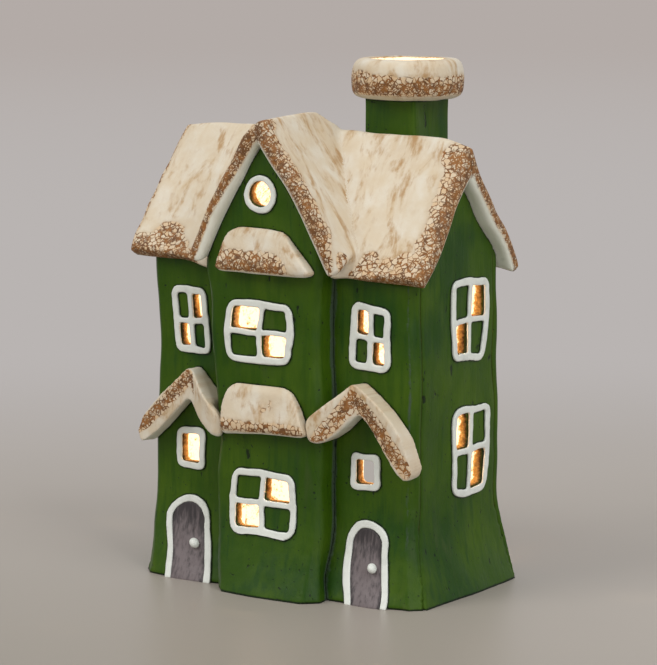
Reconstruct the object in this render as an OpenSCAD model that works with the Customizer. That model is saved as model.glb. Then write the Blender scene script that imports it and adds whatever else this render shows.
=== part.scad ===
// Slab-built ceramic village house, lit from inside by a small light on its floor.
// Millimetres. The origin is on the table, under the ridge and the middle of the front.
// +X is the right side as seen from the front, -Y is the front with the bay, +Z is up.

/* [Walls] */
// Width over the side walls above the flared foot
house_w = 166; // [150:1:180]
// Depth over the wing walls and the back wall above the foot
house_d = 86; // [80:1:96]
// Thickness of the rolled clay slabs
wall_t = 7; // [5:0.5:8]
// How far the walls spread out at the table
flare_w = 9; // [3:0.5:11]
// Height over which the walls spread
flare_h = 56; // [45:1:58]
// How much further the front spreads than the sides, as a share
front_flare_share = 1.35; // [1:0.05:1.5]
// Width of the flat cut along the upright corners, above the flare
corner_cut = 5; // [2:0.5:7]
// How far the upright corners follow the flare of the faces, as a share
corner_follow_share = 0.8; // [0.7:0.05:0.95]
// Thickness of the floor
floor_t = 7; // [5:0.5:9]

/* [Bay] */
// Width of the bay
bay_w = 69; // [60:1:74]
// How far the bay stands out from the wing walls
bay_d = 14; // [12:1:18]

/* [Main roof] */
// Height of the ridge over the table
ridge_h = 242; // [215:1:275]
// Slope of the main roof in degrees
roof_pitch = 53; // [51:0.5:55]
// Thickness of the roof slabs
roof_t = 9; // [7:0.5:10]
// How far the eaves reach past the front and back walls
eave_reach = 9; // [6:0.5:12]
// How far the roof reaches past the side walls
rake_reach = 8; // [5:0.5:11]
// Rounding of the roof's edges
roof_soft = 3.4; // [2:0.2:3.4]
// Rounding of the ridges
ridge_soft = 5; // [4:0.5:9]

/* [Bay roof] */
// How far the bay roof's ridge stands over the main ridge
gable_rise = 13; // [9:0.5:15]
// Slope of the bay roof in degrees
gable_pitch = 56.5; // [55:0.5:58]
// How far the bay roof's feet reach past the sides of the bay
gable_foot = 12; // [11:0.5:15]
// How far the bay roof reaches past the bay's face
gable_reach = 6; // [4:0.5:9]
// How far before the main ridge the bay roof's ridge ends and its hip begins
gable_hip = 11.5; // [8:0.5:15]

/* [Chimney] */
// Width of the stack
stack_w = 31; // [28:1:34]
// Depth of the stack
stack_d = 36; // [30:1:38]
// Thickness of the stack's walls
stack_wall = 6; // [4:0.5:7]
// Distance of the stack's middle to the right of the house's middle
stack_x = 36; // [32:1:44]
// Distance of the stack's middle behind the ridge
stack_y = 24.5; // [23:0.5:28]
// How far the stack's top stands over the main ridge
stack_rise = 17.5; // [13:0.5:25]
// Diameter of the cap
cap_w = 60.5; // [54:0.5:66]
// Height of the cap
cap_h = 22; // [18:0.5:26]
// Diameter of the hole in the top of the cap
cap_hole = 33; // [30:0.5:36]
// Diameter of the hole in the foot of the cap
cap_neck = 19; // [17:0.5:22]

/* [Windows] */
// How far the modelled frames stand out from the walls
frame_h = 1.4; // [1:0.2:3]
// Width of the frames' outer bars
frame_bar = 3.8; // [3:0.2:5]
// Width of the bars that cross in the middle
cross_bar = 3; // [2.6:0.2:4.4]
// Rounding of the frames' corners
frame_soft = 6.5; // [4:0.5:8.5]
// Rounding of the panes' corners
pane_soft = 1.75; // [1:0.25:3.5]
// Middle of the wing windows across the wing, as a share of its width
wing_window_out_share = 0.464; // [0.38:0.002:0.52]
// Middle of the wing windows, as a share of the front wall's height
wing_window_up_share = 0.827; // [0.793:0.001:0.846]
// Width of the wing windows, as a share of the wing's width
wing_window_wide_share = 0.5; // [0.39:0.002:0.53]
// Height of the wing windows, as a share of the front wall's height
wing_window_tall_share = 0.215; // [0.178:0.001:0.246]
// Middle of the bay's upper window, as a share of the front wall's height
bay_top_window_up_share = 0.818; // [0.777:0.001:0.84]
// Middle of the bay's lower window, as a share of the front wall's height
bay_low_window_up_share = 0.285; // [0.26:0.001:0.329]
// Width of the bay windows, as a share of the bay's width
bay_window_wide_share = 0.617; // [0.5:0.001:0.665]
// Height of the bay windows, as a share of the front wall's height
bay_window_tall_share = 0.206; // [0.167:0.001:0.223]
// Middle of the porch windows across the wing, as a share of its width
porch_window_out_share = 0.434; // [0.38:0.001:0.52]
// Middle of the porch windows, as a share of the front wall's height
porch_window_up_share = 0.406; // [0.389:0.001:0.417]
// Width of the porch windows, as a share of the wing's width
porch_window_wide_share = 0.376; // [0.32:0.002:0.4]
// Height of the porch windows, as a share of the front wall's height
porch_window_tall_share = 0.13; // [0.112:0.001:0.136]
// Drop of the round window's middle from the bay roof's ridge, as a share of the gable's height
round_window_drop_share = 0.528; // [0.51:0.002:0.54]
// Diameter of the round window's ring, as a share of the gable's height
round_window_wide_share = 0.25; // [0.22:0.002:0.27]
// Middle of the side windows behind the ridge, as a share of the house's depth
side_window_back_share = 0.122; // [0.07:0.001:0.14]
// Middle of the upper side windows, as a share of the front wall's height
side_top_window_up_share = 0.847; // [0.813:0.001:0.87]
// Middle of the lower side windows, as a share of the front wall's height
side_low_window_up_share = 0.441; // [0.418:0.001:0.482]
// Width of the side windows, as a share of the house's depth
side_window_wide_share = 0.435; // [0.35:0.001:0.465]
// Height of the side windows, as a share of the front wall's height
side_window_tall_share = 0.265; // [0.224:0.001:0.282]

/* [Doors] */
// Middle of the doors across the wing, as a share of its width
door_out_share = 0.474; // [0.42:0.002:0.52]
// Width over the door frames, as a share of the wing's width
door_wide_share = 0.577; // [0.5:0.001:0.635]
// Height over the door frames, as a share of the front wall's height
door_tall_share = 0.262; // [0.224:0.001:0.276]
// Thickness of the door leaves
leaf_t = 1; // [0.6:0.1:1.4]
// Diameter of the door knobs
knob_w = 5.6; // [4:0.2:7]
// Height of the door knobs, as a share of the height over the door frames
knob_up_share = 0.438; // [0.36:0.002:0.52]

/* [Snow ledges] */
// How far the porch canopies stand out at their outer feet
canopy_d = 11; // [8:0.5:12]
// How far they stand out from the bay's face
canopy_swell = 5; // [3:0.5:7]
// How far their outer feet reach past the side walls
canopy_reach = 8; // [4:0.5:10]
// How far their inner ends run on along the bay's face
canopy_wrap = 7; // [4:0.5:8]
// Peak of a porch canopy, as a share of the front wall's height
canopy_up_share = 0.683; // [0.66:0.001:0.695]
// Height from its lower foot to its peak, as a share of the front wall's height
canopy_tall_share = 0.277; // [0.248:0.001:0.294]
// How far the bay's ledges stand out
ledge_d = 8.5; // [6:0.5:11]
// Height of the lower ledge, as a share of the front wall's height
low_ledge_tall_share = 0.147; // [0.12:0.001:0.155]
// Height of the upper ledge, as a share of the gable's height
top_ledge_tall_share = 0.3; // [0.25:0.002:0.31]
// Foot of the lower ledge, as a share of the front wall's height
low_ledge_up_share = 0.506; // [0.498:0.001:0.53]
// Width of the lower ledge at its foot, as a share of the bay's width
low_ledge_wide_share = 0.812; // [0.67:0.002:0.87]
// Foot of the upper ledge, as a share of the front wall's height
top_ledge_up_share = 1.01; // [0.99:0.001:1.018]
// Width of the upper ledge at its foot, as a share of the bay's width
top_ledge_wide_share = 0.884; // [0.76:0.002:0.92]

/* [Rear arch] */
// Distance of the arch's middle to the right of the house's middle
arch_x = 18; // [10:0.5:22]
// Width of the arch
arch_w = 50; // [47:0.5:56]
// Height of the arch's top over the table
arch_h = 68; // [62:0.5:78]

/* [Light] */
// Diameter of the light's case
light_w = 37.5; // [36:0.5:39]
// Height of the light's case
light_h = 15; // [13:0.5:18]
// Thickness of the case's wall
case_t = 1.2; // [0.8:0.1:1.5]
// Height of the flame over the case
flame_h = 19; // [16:0.5:24]
// Widest diameter of the flame
flame_w = 12.6; // [11:0.2:15]
// Diameter of the lamp's dome
lamp_w = 5; // [4.6:0.1:5.4]
// Diameter of the coin cell
cell_w = 20; // [19:0.1:20.5]
// Height of the coin cell
cell_h = 3.2; // [2.5:0.1:4]
// Travel of the switch
switch_travel = 2.5; // [1.5:0.1:3]
// Turn of the battery cover between locked and free in degrees
cover_turn = 40; // [30:1:60]
// Gap between pieces that move past each other
play = 0.3; // [0.3:0.05:0.4]

/* [Hidden] */
$fn = 64;

// One named overrun serves all cuts, and one long run serves all cutting profiles
over = wall_t;
run = 4 * house_w;
half_w = house_w / 2;
half_d = house_d / 2;
half_bay = bay_w / 2;
bay_face = half_d + bay_d;
wing_w = half_w - half_bay;
front_h = under_roof(half_d);
gable_h = ridge_h + gable_rise;
stack_top = ridge_h + stack_rise;
flare_r = (flare_h * flare_h + flare_w * flare_w) / (2 * flare_w);
flare_steps = 7;
front_corners = [135, 225];
back_corners = [-45, 45];
arc_steps = 5;

// Colours of the glazes and the light's plastics
moss = [0.20, 0.32, 0.09];
snow = [0.87, 0.82, 0.74];
slip = [0.88, 0.88, 0.85];
plum = [0.43, 0.38, 0.38];
wax = [0.93, 0.91, 0.86];
amber = [1.00, 0.72, 0.32];
metal = [0.75, 0.75, 0.72];

// How far each window's top leans along the wall, as a share of its height
left_upper_lean_share = -0.05;
right_upper_lean_share = 0.05;
bay_upper_lean_share = 0.02;
bay_lower_lean_share = 0.05;
side_upper_lean_share = 0.03;
side_lower_lean_share = 0.07;

// A canopy's outline, as shares of its run from the bay outwards and of its height
canopy_shares = [
    [0, 0.66], [0.15, 0.80], [0.36, 1], [0.70, 0.68], [0.90, 0.45], [1, 0.14],
    [0.92, 0], [0.82, 0.07], [0.56, 0.44], [0.38, 0.65], [0.17, 0.42], [0, 0.31]
];
// Its foot and its top where it ends on the bay's face, as shares of its height
canopy_end_shares = [0.33, 0.54];
// A ledge's front outline, as shares of half its foot width and of its height
ledge_shares = [[0.93, 0], [1, 0.07], [0.97, 0.16], [0.82, 0.58], [0.68, 0.90], [0.52, 1]];
// A ledge's side profile, as shares of how far it stands out and of its height
ledge_side_shares = [[0, 0], [0.80, 0], [1, 0.08], [1, 0.22], [0.45, 0.86], [0.20, 1], [0, 1]];
// The cap's section, as shares of its wall from hole to rim and of its height
cap_shares = [[0.56, 0], [0.93, 0.10], [1, 0.32], [1, 0.66], [0.84, 0.95], [0.32, 1], [0, 0.86]];
// The flame's outline, as shares of half its width and of its height
flame_shares = [[0.82, 0], [1, 0.22], [0.92, 0.44], [0.62, 0.70], [0.26, 0.92], [0, 1]];
canopy_soft_share = 0.085;
ledge_soft_share = 0.10;

// How far the wall stands out at a height, as an arc that ends upright
function flare(z) =
    z < flare_h ? flare_r - sqrt(flare_r * flare_r - (flare_h - z) * (flare_h - z)) : 0;

// A wall face from the table to the end of the flare, out from the middle, by height
function face_line(face, spread = 1) = [
    for (i = [0 : flare_steps])
        let (z = flare_h * i / flare_steps)
        [face + spread * flare(z), z]
];

// The same across a corner, at heights between those of the faces
function corner_line(face, spread) = [
    for (i = [0 : flare_steps + 1])
        let (z = flare_h * (2 * i - 1) / (2 * flare_steps))
        [face + corner_follow_share * spread / sqrt(2) * flare(z), z]
];

function reversed(points) = [for (i = [len(points) - 1 : -1 : 0]) points[i]];
function mirrored(points) = [for (p = points) [-p[0], p[1]]];

// Underside of the main roof at a distance from the ridge line
function under_roof(y) = ridge_h - roof_t / cos(roof_pitch) - abs(y) * tan(roof_pitch);
// Underside of the bay roof at a distance from its ridge line
function under_gable(x) = gable_h - roof_t / cos(gable_pitch) - abs(x) * tan(gable_pitch);

// Closed outline with its corners rounded off, over one length or a list of them
function softened(points, soft) = [
    for (i = [0 : len(points) - 1])
        let (
            p = points[i],
            reach = is_list(soft) ? soft[i] : soft,
            a = points[(i + len(points) - 1) % len(points)] - p,
            b = points[(i + 1) % len(points)] - p,
            start = p + a / norm(a) * min(reach, norm(a) / 2),
            end = p + b / norm(b) * min(reach, norm(b) / 2)
        )
        for (k = [0 : reach > 0 ? arc_steps : 0])
            let (t = k / arc_steps)
            (1 - t) * (1 - t) * start + 2 * t * (1 - t) * p + t * t * end
];

// Draws depth and height, and runs the outline along X
module along_x(length) {
    rotate([90, 0, 90]) linear_extrude(length, center = true) children();
}

// Draws width and height, and runs the outline along Y
module along_y(length) {
    rotate([90, 0, 0]) linear_extrude(length, center = true) children();
}

// A rectangle with round corners, its lower left corner at the origin
module soft_bar(w, t, soft) {
    translate([soft, 0]) square([w - 2 * soft, t]);
    translate([0, soft]) square([w, t - 2 * soft]);
    for (x = [soft, w - soft], y = [soft, t - soft]) translate([x, y]) circle(soft);
}

// Walls
// Section of a wall between two faces, with its top under a sloping roof
function wall_section(outer, inner, top_outer, top_inner, spread = 1) = concat(
    face_line(outer, spread), [[outer, top_outer], [inner, top_inner]],
    reversed(face_line(inner, spread))
);

module front_section(outer, inner, top_outer, top_inner) {
    along_x(run) polygon(mirrored(
        wall_section(outer, inner, top_outer, top_inner, front_flare_share)
    ));
}

// Everything between the front and the back at a distance from the ridge line, under a top
function house_section(face, top) = concat(
    face_line(face), top, mirrored(reversed(face_line(face, front_flare_share)))
);

// Everything between a pair of opposite flared faces, up to a height
function between_faces(face, top) = concat(
    face_line(face), [[face, top], [-face, top]], mirrored(reversed(face_line(face)))
);

// Takes the sharp edge off upright corners of two faces, along the whole flare
module corner_cuts(side, face, turns, spread) {
    reach = (side + face) / sqrt(2) - corner_cut / 2;
    for (turn = turns)
        rotate([0, 0, turn]) along_x(run)
            polygon(concat([[run, -over]], corner_line(reach, spread), [[reach, run], [run, run]]));
}

// A panel that runs over the full width, with flared ends
module full_panel() {
    along_y(run) polygon(between_faces(half_w, ridge_h));
}

module wing_wall() {
    difference() {
        intersection() {
            full_panel();
            front_section(half_d, half_d - wall_t, under_roof(half_d), under_roof(half_d - wall_t));
            translate([half_bay, -run, 0]) cube([run, run, ridge_h]);
        }
        corner_cuts(half_w, half_d, front_corners, 1 + front_flare_share);
    }
}

module left_wing_wall() {
    color(moss) difference() {
        mirror([1, 0, 0]) wing_wall();
        along_y(run) {
            lit_panes(left_upper, [1, 2]);
            outline(left_porch_hole, pane_soft);
        }
    }
}

module right_wing_wall() {
    color(moss) difference() {
        wing_wall();
        along_y(run) {
            lit_panes(right_upper, [0, 3]);
            outline(right_porch_hole, pane_soft);
        }
    }
}

// Front elevation of the bay, up to the underside of its roof
bay_outline = [
    [-half_bay, 0], [half_bay, 0], [half_bay, under_gable(half_bay)],
    [0, under_gable(0)], [-half_bay, under_gable(half_bay)]
];

module bay_wall() {
    color(moss) difference() {
        intersection() {
            along_y(run) polygon(bay_outline);
            front_section(bay_face, half_d - wall_t, gable_h, gable_h);
        }
        intersection() {
            translate([wall_t - half_bay, -run, -over]) cube([bay_w - 2 * wall_t, run, run]);
            front_section(bay_face - wall_t, 0, gable_h + over, gable_h + over);
        }
        corner_cuts(half_bay, bay_face, front_corners, front_flare_share);
        translate([0, -bay_face, 0]) along_y(4 * wall_t) {
            lit_panes(bay_upper, [0, 3]);
            lit_panes(bay_lower, [1, 2]);
            translate([0, round_window_z]) circle(d = round_window_w - 2 * frame_bar + frame_h);
        }
    }
}

module back_wall() {
    color(moss) difference() {
        intersection() {
            full_panel();
            along_x(run) polygon(wall_section(
                half_d, half_d - wall_t, under_roof(half_d), under_roof(half_d - wall_t)
            ));
        }
        corner_cuts(half_w, half_d, back_corners, 2);
        translate([0, half_d, 0]) along_y(4 * wall_t) arch_hole();
    }
}

// The way in for the light: upright sides, a round head, and the floor as its sill
module arch_hole() {
    intersection() {
        translate([arch_x, 0]) arch(arch_w, arch_h);
        translate([-run, floor_t]) square([2 * run, run]);
    }
}

module arch(w, h) {
    translate([-w / 2, 0]) square([w, h - w / 2]);
    translate([0, h - w / 2]) circle(d = w);
}

module side_wall(top_lit, low_lit) {
    inner = half_d - wall_t;
    difference() {
        intersection() {
            along_x(run) polygon(house_section(inner, [
                [inner, under_roof(inner)], [0, under_roof(0)], [-inner, under_roof(inner)]
            ]));
            along_y(run) polygon(wall_section(half_w, half_w - wall_t, ridge_h, ridge_h));
        }
        along_x(run) {
            lit_panes(side_upper, top_lit);
            lit_panes(side_lower, low_lit);
        }
    }
}

module right_side_wall() color(moss) side_wall([1, 2], [0, 3]);
module left_side_wall() color(moss) mirror([1, 0, 0]) side_wall([1, 2], [0, 3]);

module floor_slab() {
    inner = half_d - wall_t;
    color(moss) intersection() {
        translate([-run / 2, -run / 2, 0]) cube([run, run, floor_t]);
        union() {
            intersection() {
                along_x(run) polygon(house_section(inner, [[inner, ridge_h], [-inner, ridge_h]]));
                along_y(run) polygon(between_faces(half_w - wall_t, ridge_h));
            }
            intersection() {
                front_section(bay_face - wall_t, 0, ridge_h, ridge_h);
                translate([wall_t - half_bay, -run, 0]) cube([bay_w - 2 * wall_t, run, run]);
            }
        }
    }
}

// Roofs
eave_y = half_d + eave_reach;
roof_w = house_w + 2 * rake_reach;
gable_x = half_bay + gable_foot;
gable_front = bay_face + gable_reach;

// Section of a pair of roof slabs, with a round ridge and round square-cut feet
module roof_profile(top, foot, pitch) {
    drop = roof_t * cos(pitch);
    back = roof_t * sin(pitch);
    low = top - foot * tan(pitch);
    polygon(softened([
        [0, top - roof_t / cos(pitch)], [back - foot, low - drop], [-foot, low],
        [0, top], [foot, low], [foot - back, low - drop]
    ], [0, roof_soft, roof_soft, ridge_soft, roof_soft, roof_soft]));
}

// The slab of the main roof on the +Y side of the ridge, with round ends
module main_slab() {
    intersection() {
        along_x(roof_w) roof_profile(ridge_h, eave_y, roof_pitch);
        translate([0, 0, ridge_h]) rotate([90 - roof_pitch, 0, 0])
            linear_extrude(run, center = true)
                translate([-roof_w / 2, -roof_t]) soft_bar(roof_w, roof_t, roof_soft);
        translate([-run / 2, 0, 0]) cube([run, run, run]);
    }
}

// The space that the bay and its roof take out of the main roof
module bay_space() {
    drop = roof_t * cos(gable_pitch);
    back = roof_t * sin(gable_pitch);
    low = gable_h - gable_x * tan(gable_pitch);
    translate([0, -run / 2, 0]) along_y(run) polygon([
        [-half_bay, 0], [half_bay, 0], [half_bay, low - drop], [gable_x - back, low - drop],
        [gable_x, low], [0, gable_h], [-gable_x, low], [back - gable_x, low - drop],
        [-half_bay, low - drop]
    ]);
}

module under_main_roof() {
    along_x(run) polygon([
        [half_d, 0], [half_d, under_roof(half_d)], [0, under_roof(0)],
        [-half_d, under_roof(half_d)], [-half_d, 0]
    ]);
}

// Everything under the top of the main roof on the +Y side of the ridge
module behind_ridge() {
    along_x(run) polygon([[0, 0], [ridge_h / tan(roof_pitch), 0], [0, ridge_h]]);
}

module rear_roof_slab() {
    color(snow) difference() {
        main_slab();
        flue(stack_top);
    }
}

module front_roof_slab() {
    difference() {
        mirror([0, 1, 0]) main_slab();
        bay_space();
        translate([-run, -run / 2, 0]) cube([run, run, run]);
    }
}

module right_roof_slab() color(snow) front_roof_slab();
module left_roof_slab() color(snow) mirror([1, 0, 0]) front_roof_slab();

// Everything under the bay roof's ridge and the hip that falls from it to the main ridge
module under_hip() {
    along_x(run) polygon([[-run, 0], [-run, gable_h], [-gable_hip, gable_h], [0, ridge_h], [0, 0]]);
}

module bay_roof_slab() {
    color(snow) difference() {
        intersection() {
            translate([0, -gable_front / 2, 0])
                along_y(gable_front) roof_profile(gable_h, gable_x, gable_pitch);
            translate([0, 0, gable_h]) rotate([0, gable_pitch - 90, 0])
                linear_extrude(run, center = true)
                    translate([-roof_t, -gable_front]) soft_bar(roof_t, 2 * gable_front, roof_soft);
            translate([0, -run / 2, 0]) cube([run, run, run]);
            under_hip();
        }
        under_main_roof();
    }
}

module right_bay_roof() bay_roof_slab();
module left_bay_roof() mirror([1, 0, 0]) bay_roof_slab();

// Chimney
// The shaft inside the stack, down through the roof
module flue(top) {
    translate([stack_x - stack_w / 2 + stack_wall, stack_y - stack_d / 2 + stack_wall, 0])
        cube([stack_w - 2 * stack_wall, stack_d - 2 * stack_wall, top]);
}

module chimney_stack() {
    color(moss) difference() {
        translate([stack_x - stack_w / 2, stack_y - stack_d / 2, 0])
            cube([stack_w, stack_d, stack_top]);
        flue(stack_top + over);
        behind_ridge();
    }
}

module chimney_cap() {
    hole = cap_hole / 2;
    wall = (cap_w - cap_hole) / 2;
    section = concat(
        [[cap_neck / 2, 0]], [for (p = cap_shares) [hole + wall * p[0], cap_h * p[1]]]
    );
    color(snow) translate([stack_x, stack_y, stack_top])
        rotate_extrude() polygon(softened(section, roof_soft));
}

// Snow ledges and porch canopies
// The gable's height runs from the upper ledge's foot to the bay roof's ridge
top_ledge_z = top_ledge_up_share * front_h;
gable_space = gable_h - top_ledge_z;
canopy_h = canopy_tall_share * front_h;

module ledge(foot_w, foot_z, tall) {
    right = [for (p = ledge_shares) [p[0] * foot_w / 2, p[1] * tall]];
    side = [for (p = ledge_side_shares) [-bay_face - p[0] * ledge_d, p[1] * tall]];
    soft = ledge_soft_share * tall;
    color(snow) translate([0, 0, foot_z]) intersection() {
        along_y(run) polygon(softened(concat(right, mirrored(reversed(right))), soft));
        along_x(run) polygon(side);
    }
}

module upper_ledge()
    ledge(top_ledge_wide_share * bay_w, top_ledge_z, top_ledge_tall_share * gable_space);
module lower_ledge()
    ledge(low_ledge_wide_share * bay_w, low_ledge_up_share * front_h, low_ledge_tall_share * front_h);

// A canopy's height over the table at a share of its own height
function canopy_z(share) = canopy_up_share * front_h - canopy_h * (1 - share);

module canopy() {
    span = half_w + canopy_reach - half_bay;
    end = half_bay - canopy_wrap;
    deep = half_d + canopy_d;
    points = concat(
        [for (share = canopy_end_shares) [end, canopy_z(share)]],
        [for (p = canopy_shares) [half_bay + p[0] * span, canopy_z(p[1])]]
    );
    color(snow) difference() {
        intersection() {
            along_y(run) polygon(softened(points, canopy_soft_share * canopy_h));
            linear_extrude(run) polygon([
                [half_bay, -half_d], [half_bay, -bay_face], [end, -bay_face],
                [end, -bay_face - canopy_swell], [half_bay, -bay_face - canopy_swell],
                [half_bay + span / 3, -deep], [half_w + canopy_reach, -deep],
                [half_w + canopy_reach, -half_d]
            ]);
        }
        lower_ledge();
    }
}

module right_canopy() canopy();
module left_canopy() mirror([1, 0, 0]) canopy();

// Windows
// A window is its middle across and up, its width, its height and the lean of its top
function window(across, up_share, w, tall_share, lean_share) =
    [across, up_share * front_h, w, tall_share * front_h, lean_share * tall_share * front_h];

function on_wing(side, lean_share) = window(
    side * (half_bay + wing_window_out_share * wing_w), wing_window_up_share,
    wing_window_wide_share * wing_w, wing_window_tall_share, lean_share
);
function on_bay(up_share, lean_share) =
    window(0, up_share, bay_window_wide_share * bay_w, bay_window_tall_share, lean_share);
function in_porch(side) = window(
    side * (half_bay + porch_window_out_share * wing_w), porch_window_up_share,
    porch_window_wide_share * wing_w, porch_window_tall_share, 0
);
function on_gable_end(up_share, lean_share) = window(
    side_window_back_share * house_d, up_share,
    side_window_wide_share * house_d, side_window_tall_share, lean_share
);

left_upper = on_wing(-1, left_upper_lean_share);
right_upper = on_wing(1, right_upper_lean_share);
bay_upper = on_bay(bay_top_window_up_share, bay_upper_lean_share);
bay_lower = on_bay(bay_low_window_up_share, bay_lower_lean_share);
side_upper = on_gable_end(side_top_window_up_share, side_upper_lean_share);
side_lower = on_gable_end(side_low_window_up_share, side_lower_lean_share);
left_porch = in_porch(-1);
right_porch = in_porch(1);
round_window_z = gable_h - round_window_drop_share * gable_space;
round_window_w = round_window_wide_share * gable_space;

// The porch frames' bars, as a share of the other frames' bars
porch_bar_share = 0.9;
// A window made smaller on all sides
function inset(w, by) = [w[0], w[1], w[2] - 2 * by, w[3] - 2 * by, w[4] * (w[3] - 2 * by) / w[3]];
left_porch_hole = inset(left_porch, frame_bar * porch_bar_share);
right_porch_hole = inset(right_porch, frame_bar * porch_bar_share);

// Panes are counted 0 top left, 1 top right, 2 bottom left, 3 bottom right
function pane(w, i) = let (
    glass = inset(w, frame_bar),
    column = i % 2 == 0 ? -1 : 1,
    row = i < 2 ? 1 : -1,
    wide = (glass[2] - cross_bar) / 2,
    tall = (glass[3] - cross_bar) / 2,
    up = row * (tall + cross_bar) / 2,
    lean = glass[4] / glass[3]
) [glass[0] + column * (wide + cross_bar) / 2 + up * lean, glass[1] + up, wide, tall, lean * tall];

module outline(w, soft) {
    polygon(softened([
        [w[0] - w[2] / 2 - w[4] / 2, w[1] - w[3] / 2], [w[0] + w[2] / 2 - w[4] / 2, w[1] - w[3] / 2],
        [w[0] + w[2] / 2 + w[4] / 2, w[1] + w[3] / 2], [w[0] - w[2] / 2 + w[4] / 2, w[1] + w[3] / 2]
    ], soft));
}

module lit_panes(w, which) {
    for (i = which) outline(pane(w, i), pane_soft);
}

module crossed_frame(w) {
    difference() {
        outline(w, frame_soft);
        lit_panes(w, [0 : 3]);
    }
}

// Lays a drawing on a front wall as a raised skin
module on_front(face, height) {
    intersection() {
        along_y(run) children();
        front_section(face + height, face, ridge_h, ridge_h);
    }
}

// Lays a drawing on the right side wall as a raised skin
module on_side(height) {
    intersection() {
        along_x(run) children();
        along_y(run) polygon(wall_section(half_w + height, half_w, ridge_h, ridge_h));
    }
}

module left_upper_frame() color(slip) on_front(half_d, frame_h) crossed_frame(left_upper);
module right_upper_frame() color(slip) on_front(half_d, frame_h) crossed_frame(right_upper);
module bay_upper_frame() color(slip) on_front(bay_face, frame_h) crossed_frame(bay_upper);
module bay_lower_frame() color(slip) on_front(bay_face, frame_h) crossed_frame(bay_lower);

module porch_frame(w, hole) {
    color(slip) on_front(half_d, frame_h) difference() {
        outline(w, frame_soft * 0.75);
        outline(hole, pane_soft);
    }
}

module left_porch_frame() porch_frame(left_porch, left_porch_hole);
module right_porch_frame() porch_frame(right_porch, right_porch_hole);

module round_frame() {
    color(slip) on_front(bay_face, frame_h) translate([0, round_window_z]) difference() {
        circle(d = round_window_w);
        circle(d = round_window_w - 2 * frame_bar + frame_h);
    }
}

module right_side_upper_frame() color(slip) on_side(frame_h) crossed_frame(side_upper);
module right_side_lower_frame() color(slip) on_side(frame_h) crossed_frame(side_lower);
module left_side_upper_frame() mirror([1, 0, 0]) right_side_upper_frame();
module left_side_lower_frame() mirror([1, 0, 0]) right_side_lower_frame();

// Doors
door_x = half_bay + door_out_share * wing_w;
door_w = door_wide_share * wing_w;
door_h = door_tall_share * front_h;
knob_z = knob_up_share * door_h;

module door_opening() arch(door_w - 2 * frame_bar, door_h - frame_bar);

module door_frame(x) {
    color(slip) on_front(half_d, frame_h) translate([x, 0]) difference() {
        arch(door_w, door_h);
        translate([0, -over]) square([door_w - 2 * frame_bar, 2 * over], center = true);
        door_opening();
    }
}

module door_leaf(x) {
    color(plum) on_front(half_d, leaf_t) translate([x, 0]) door_opening();
}

// A round knob that sits on the leaf near its right edge, square to the leaf's flare
module door_knob(x) {
    step = flare_h / flare_steps;
    low = step * floor(knob_z / step);
    rise = front_flare_share * (flare(low) - flare(low + step));
    stand = front_flare_share * flare(low) - rise * (knob_z - low) / step;
    across = x + door_w / 2 - frame_bar - knob_w;
    color(slip) translate([across, -half_d - leaf_t - stand, knob_z])
        rotate([90 - atan(rise / step), 0, 0])
            rotate_extrude() intersection() {
                translate([0, knob_w / 5]) circle(d = knob_w);
                square([knob_w, knob_w]);
            }
}

module left_door_frame() door_frame(-door_x);
module right_door_frame() door_frame(door_x);
module left_door_leaf() door_leaf(-door_x);
module right_door_leaf() door_leaf(door_x);
module left_door_knob() door_knob(-door_x);
module right_door_knob() door_knob(door_x);

// Light
// Heights inside the light, up from its rim
plate_z = 2.5 * play;
plate_t = case_t + play;
ledge_t = case_t / 2;
lug_t = 0.4 * case_t;
lug_z = plate_z + ledge_t + play;
well_z = lug_z + lug_t + play;
cell_z = well_z + play;
well_top = cell_z + cell_h + play;
well_r = cell_w / 2 + 2 * play;
well_wall = case_t;
lug_r = well_r + 0.8 * case_t;
lug_w = cell_w / 5;
contact_t = case_t / 3;
contact_w = cell_w / 5;
lead_r = contact_t / 2;
case_r = light_w / 2;
deck_z = light_h - case_t;
nub_w = 2 * case_t;
slot_r = (lug_r + 2 * play + well_wall + case_r - case_t) / 2;

module in_house() {
    translate([arch_x, 0, floor_t + play]) children();
}

module disc(r, from, to) {
    translate([0, 0, from]) cylinder(to - from, r = r);
}

// A pair of lugs that reach out from a disc to both sides
module lug_pair(r, w) {
    intersection() {
        circle(r);
        square([2 * r, w], center = true);
    }
}

module light_case() {
    color(wax) in_house() difference() {
        disc(case_r, 0, light_h);
        disc(case_r - case_t, -over, deck_z);
        disc(lamp_w / 2 + play / 3, 0, light_h + over);
    }
}

module light_base() {
    well_out = lug_r + play + well_wall;
    color(wax) in_house() difference() {
        union() {
            disc(case_r - case_t - play / 3, plate_z, plate_z + plate_t);
            disc(well_out, plate_z, well_top);
        }
        disc(well_r, -over, well_top + over);
        disc(lug_r + play, plate_z + ledge_t, well_z);
        rotate([0, 0, cover_turn]) translate([0, 0, -over])
            linear_extrude(over + plate_z + ledge_t + play)
                lug_pair(lug_r + play / 2, lug_w + 2 * play);
        translate([0, -slot_r, 0])
            cube([nub_w + switch_travel + 2 * play, nub_w + 2 * play, 2 * light_h], center = true);
    }
}

module battery_cover() {
    color(wax) in_house() difference() {
        union() {
            disc(well_r - play, plate_z, lug_z + lug_t);
            translate([0, 0, lug_z]) linear_extrude(lug_t) lug_pair(lug_r, lug_w);
        }
        translate([0, 0, plate_z]) cube([cell_w / 2, case_t, case_t], center = true);
    }
}

module coin_cell() {
    color(metal) in_house() disc(cell_w / 2, cell_z, cell_z + cell_h);
}

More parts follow.
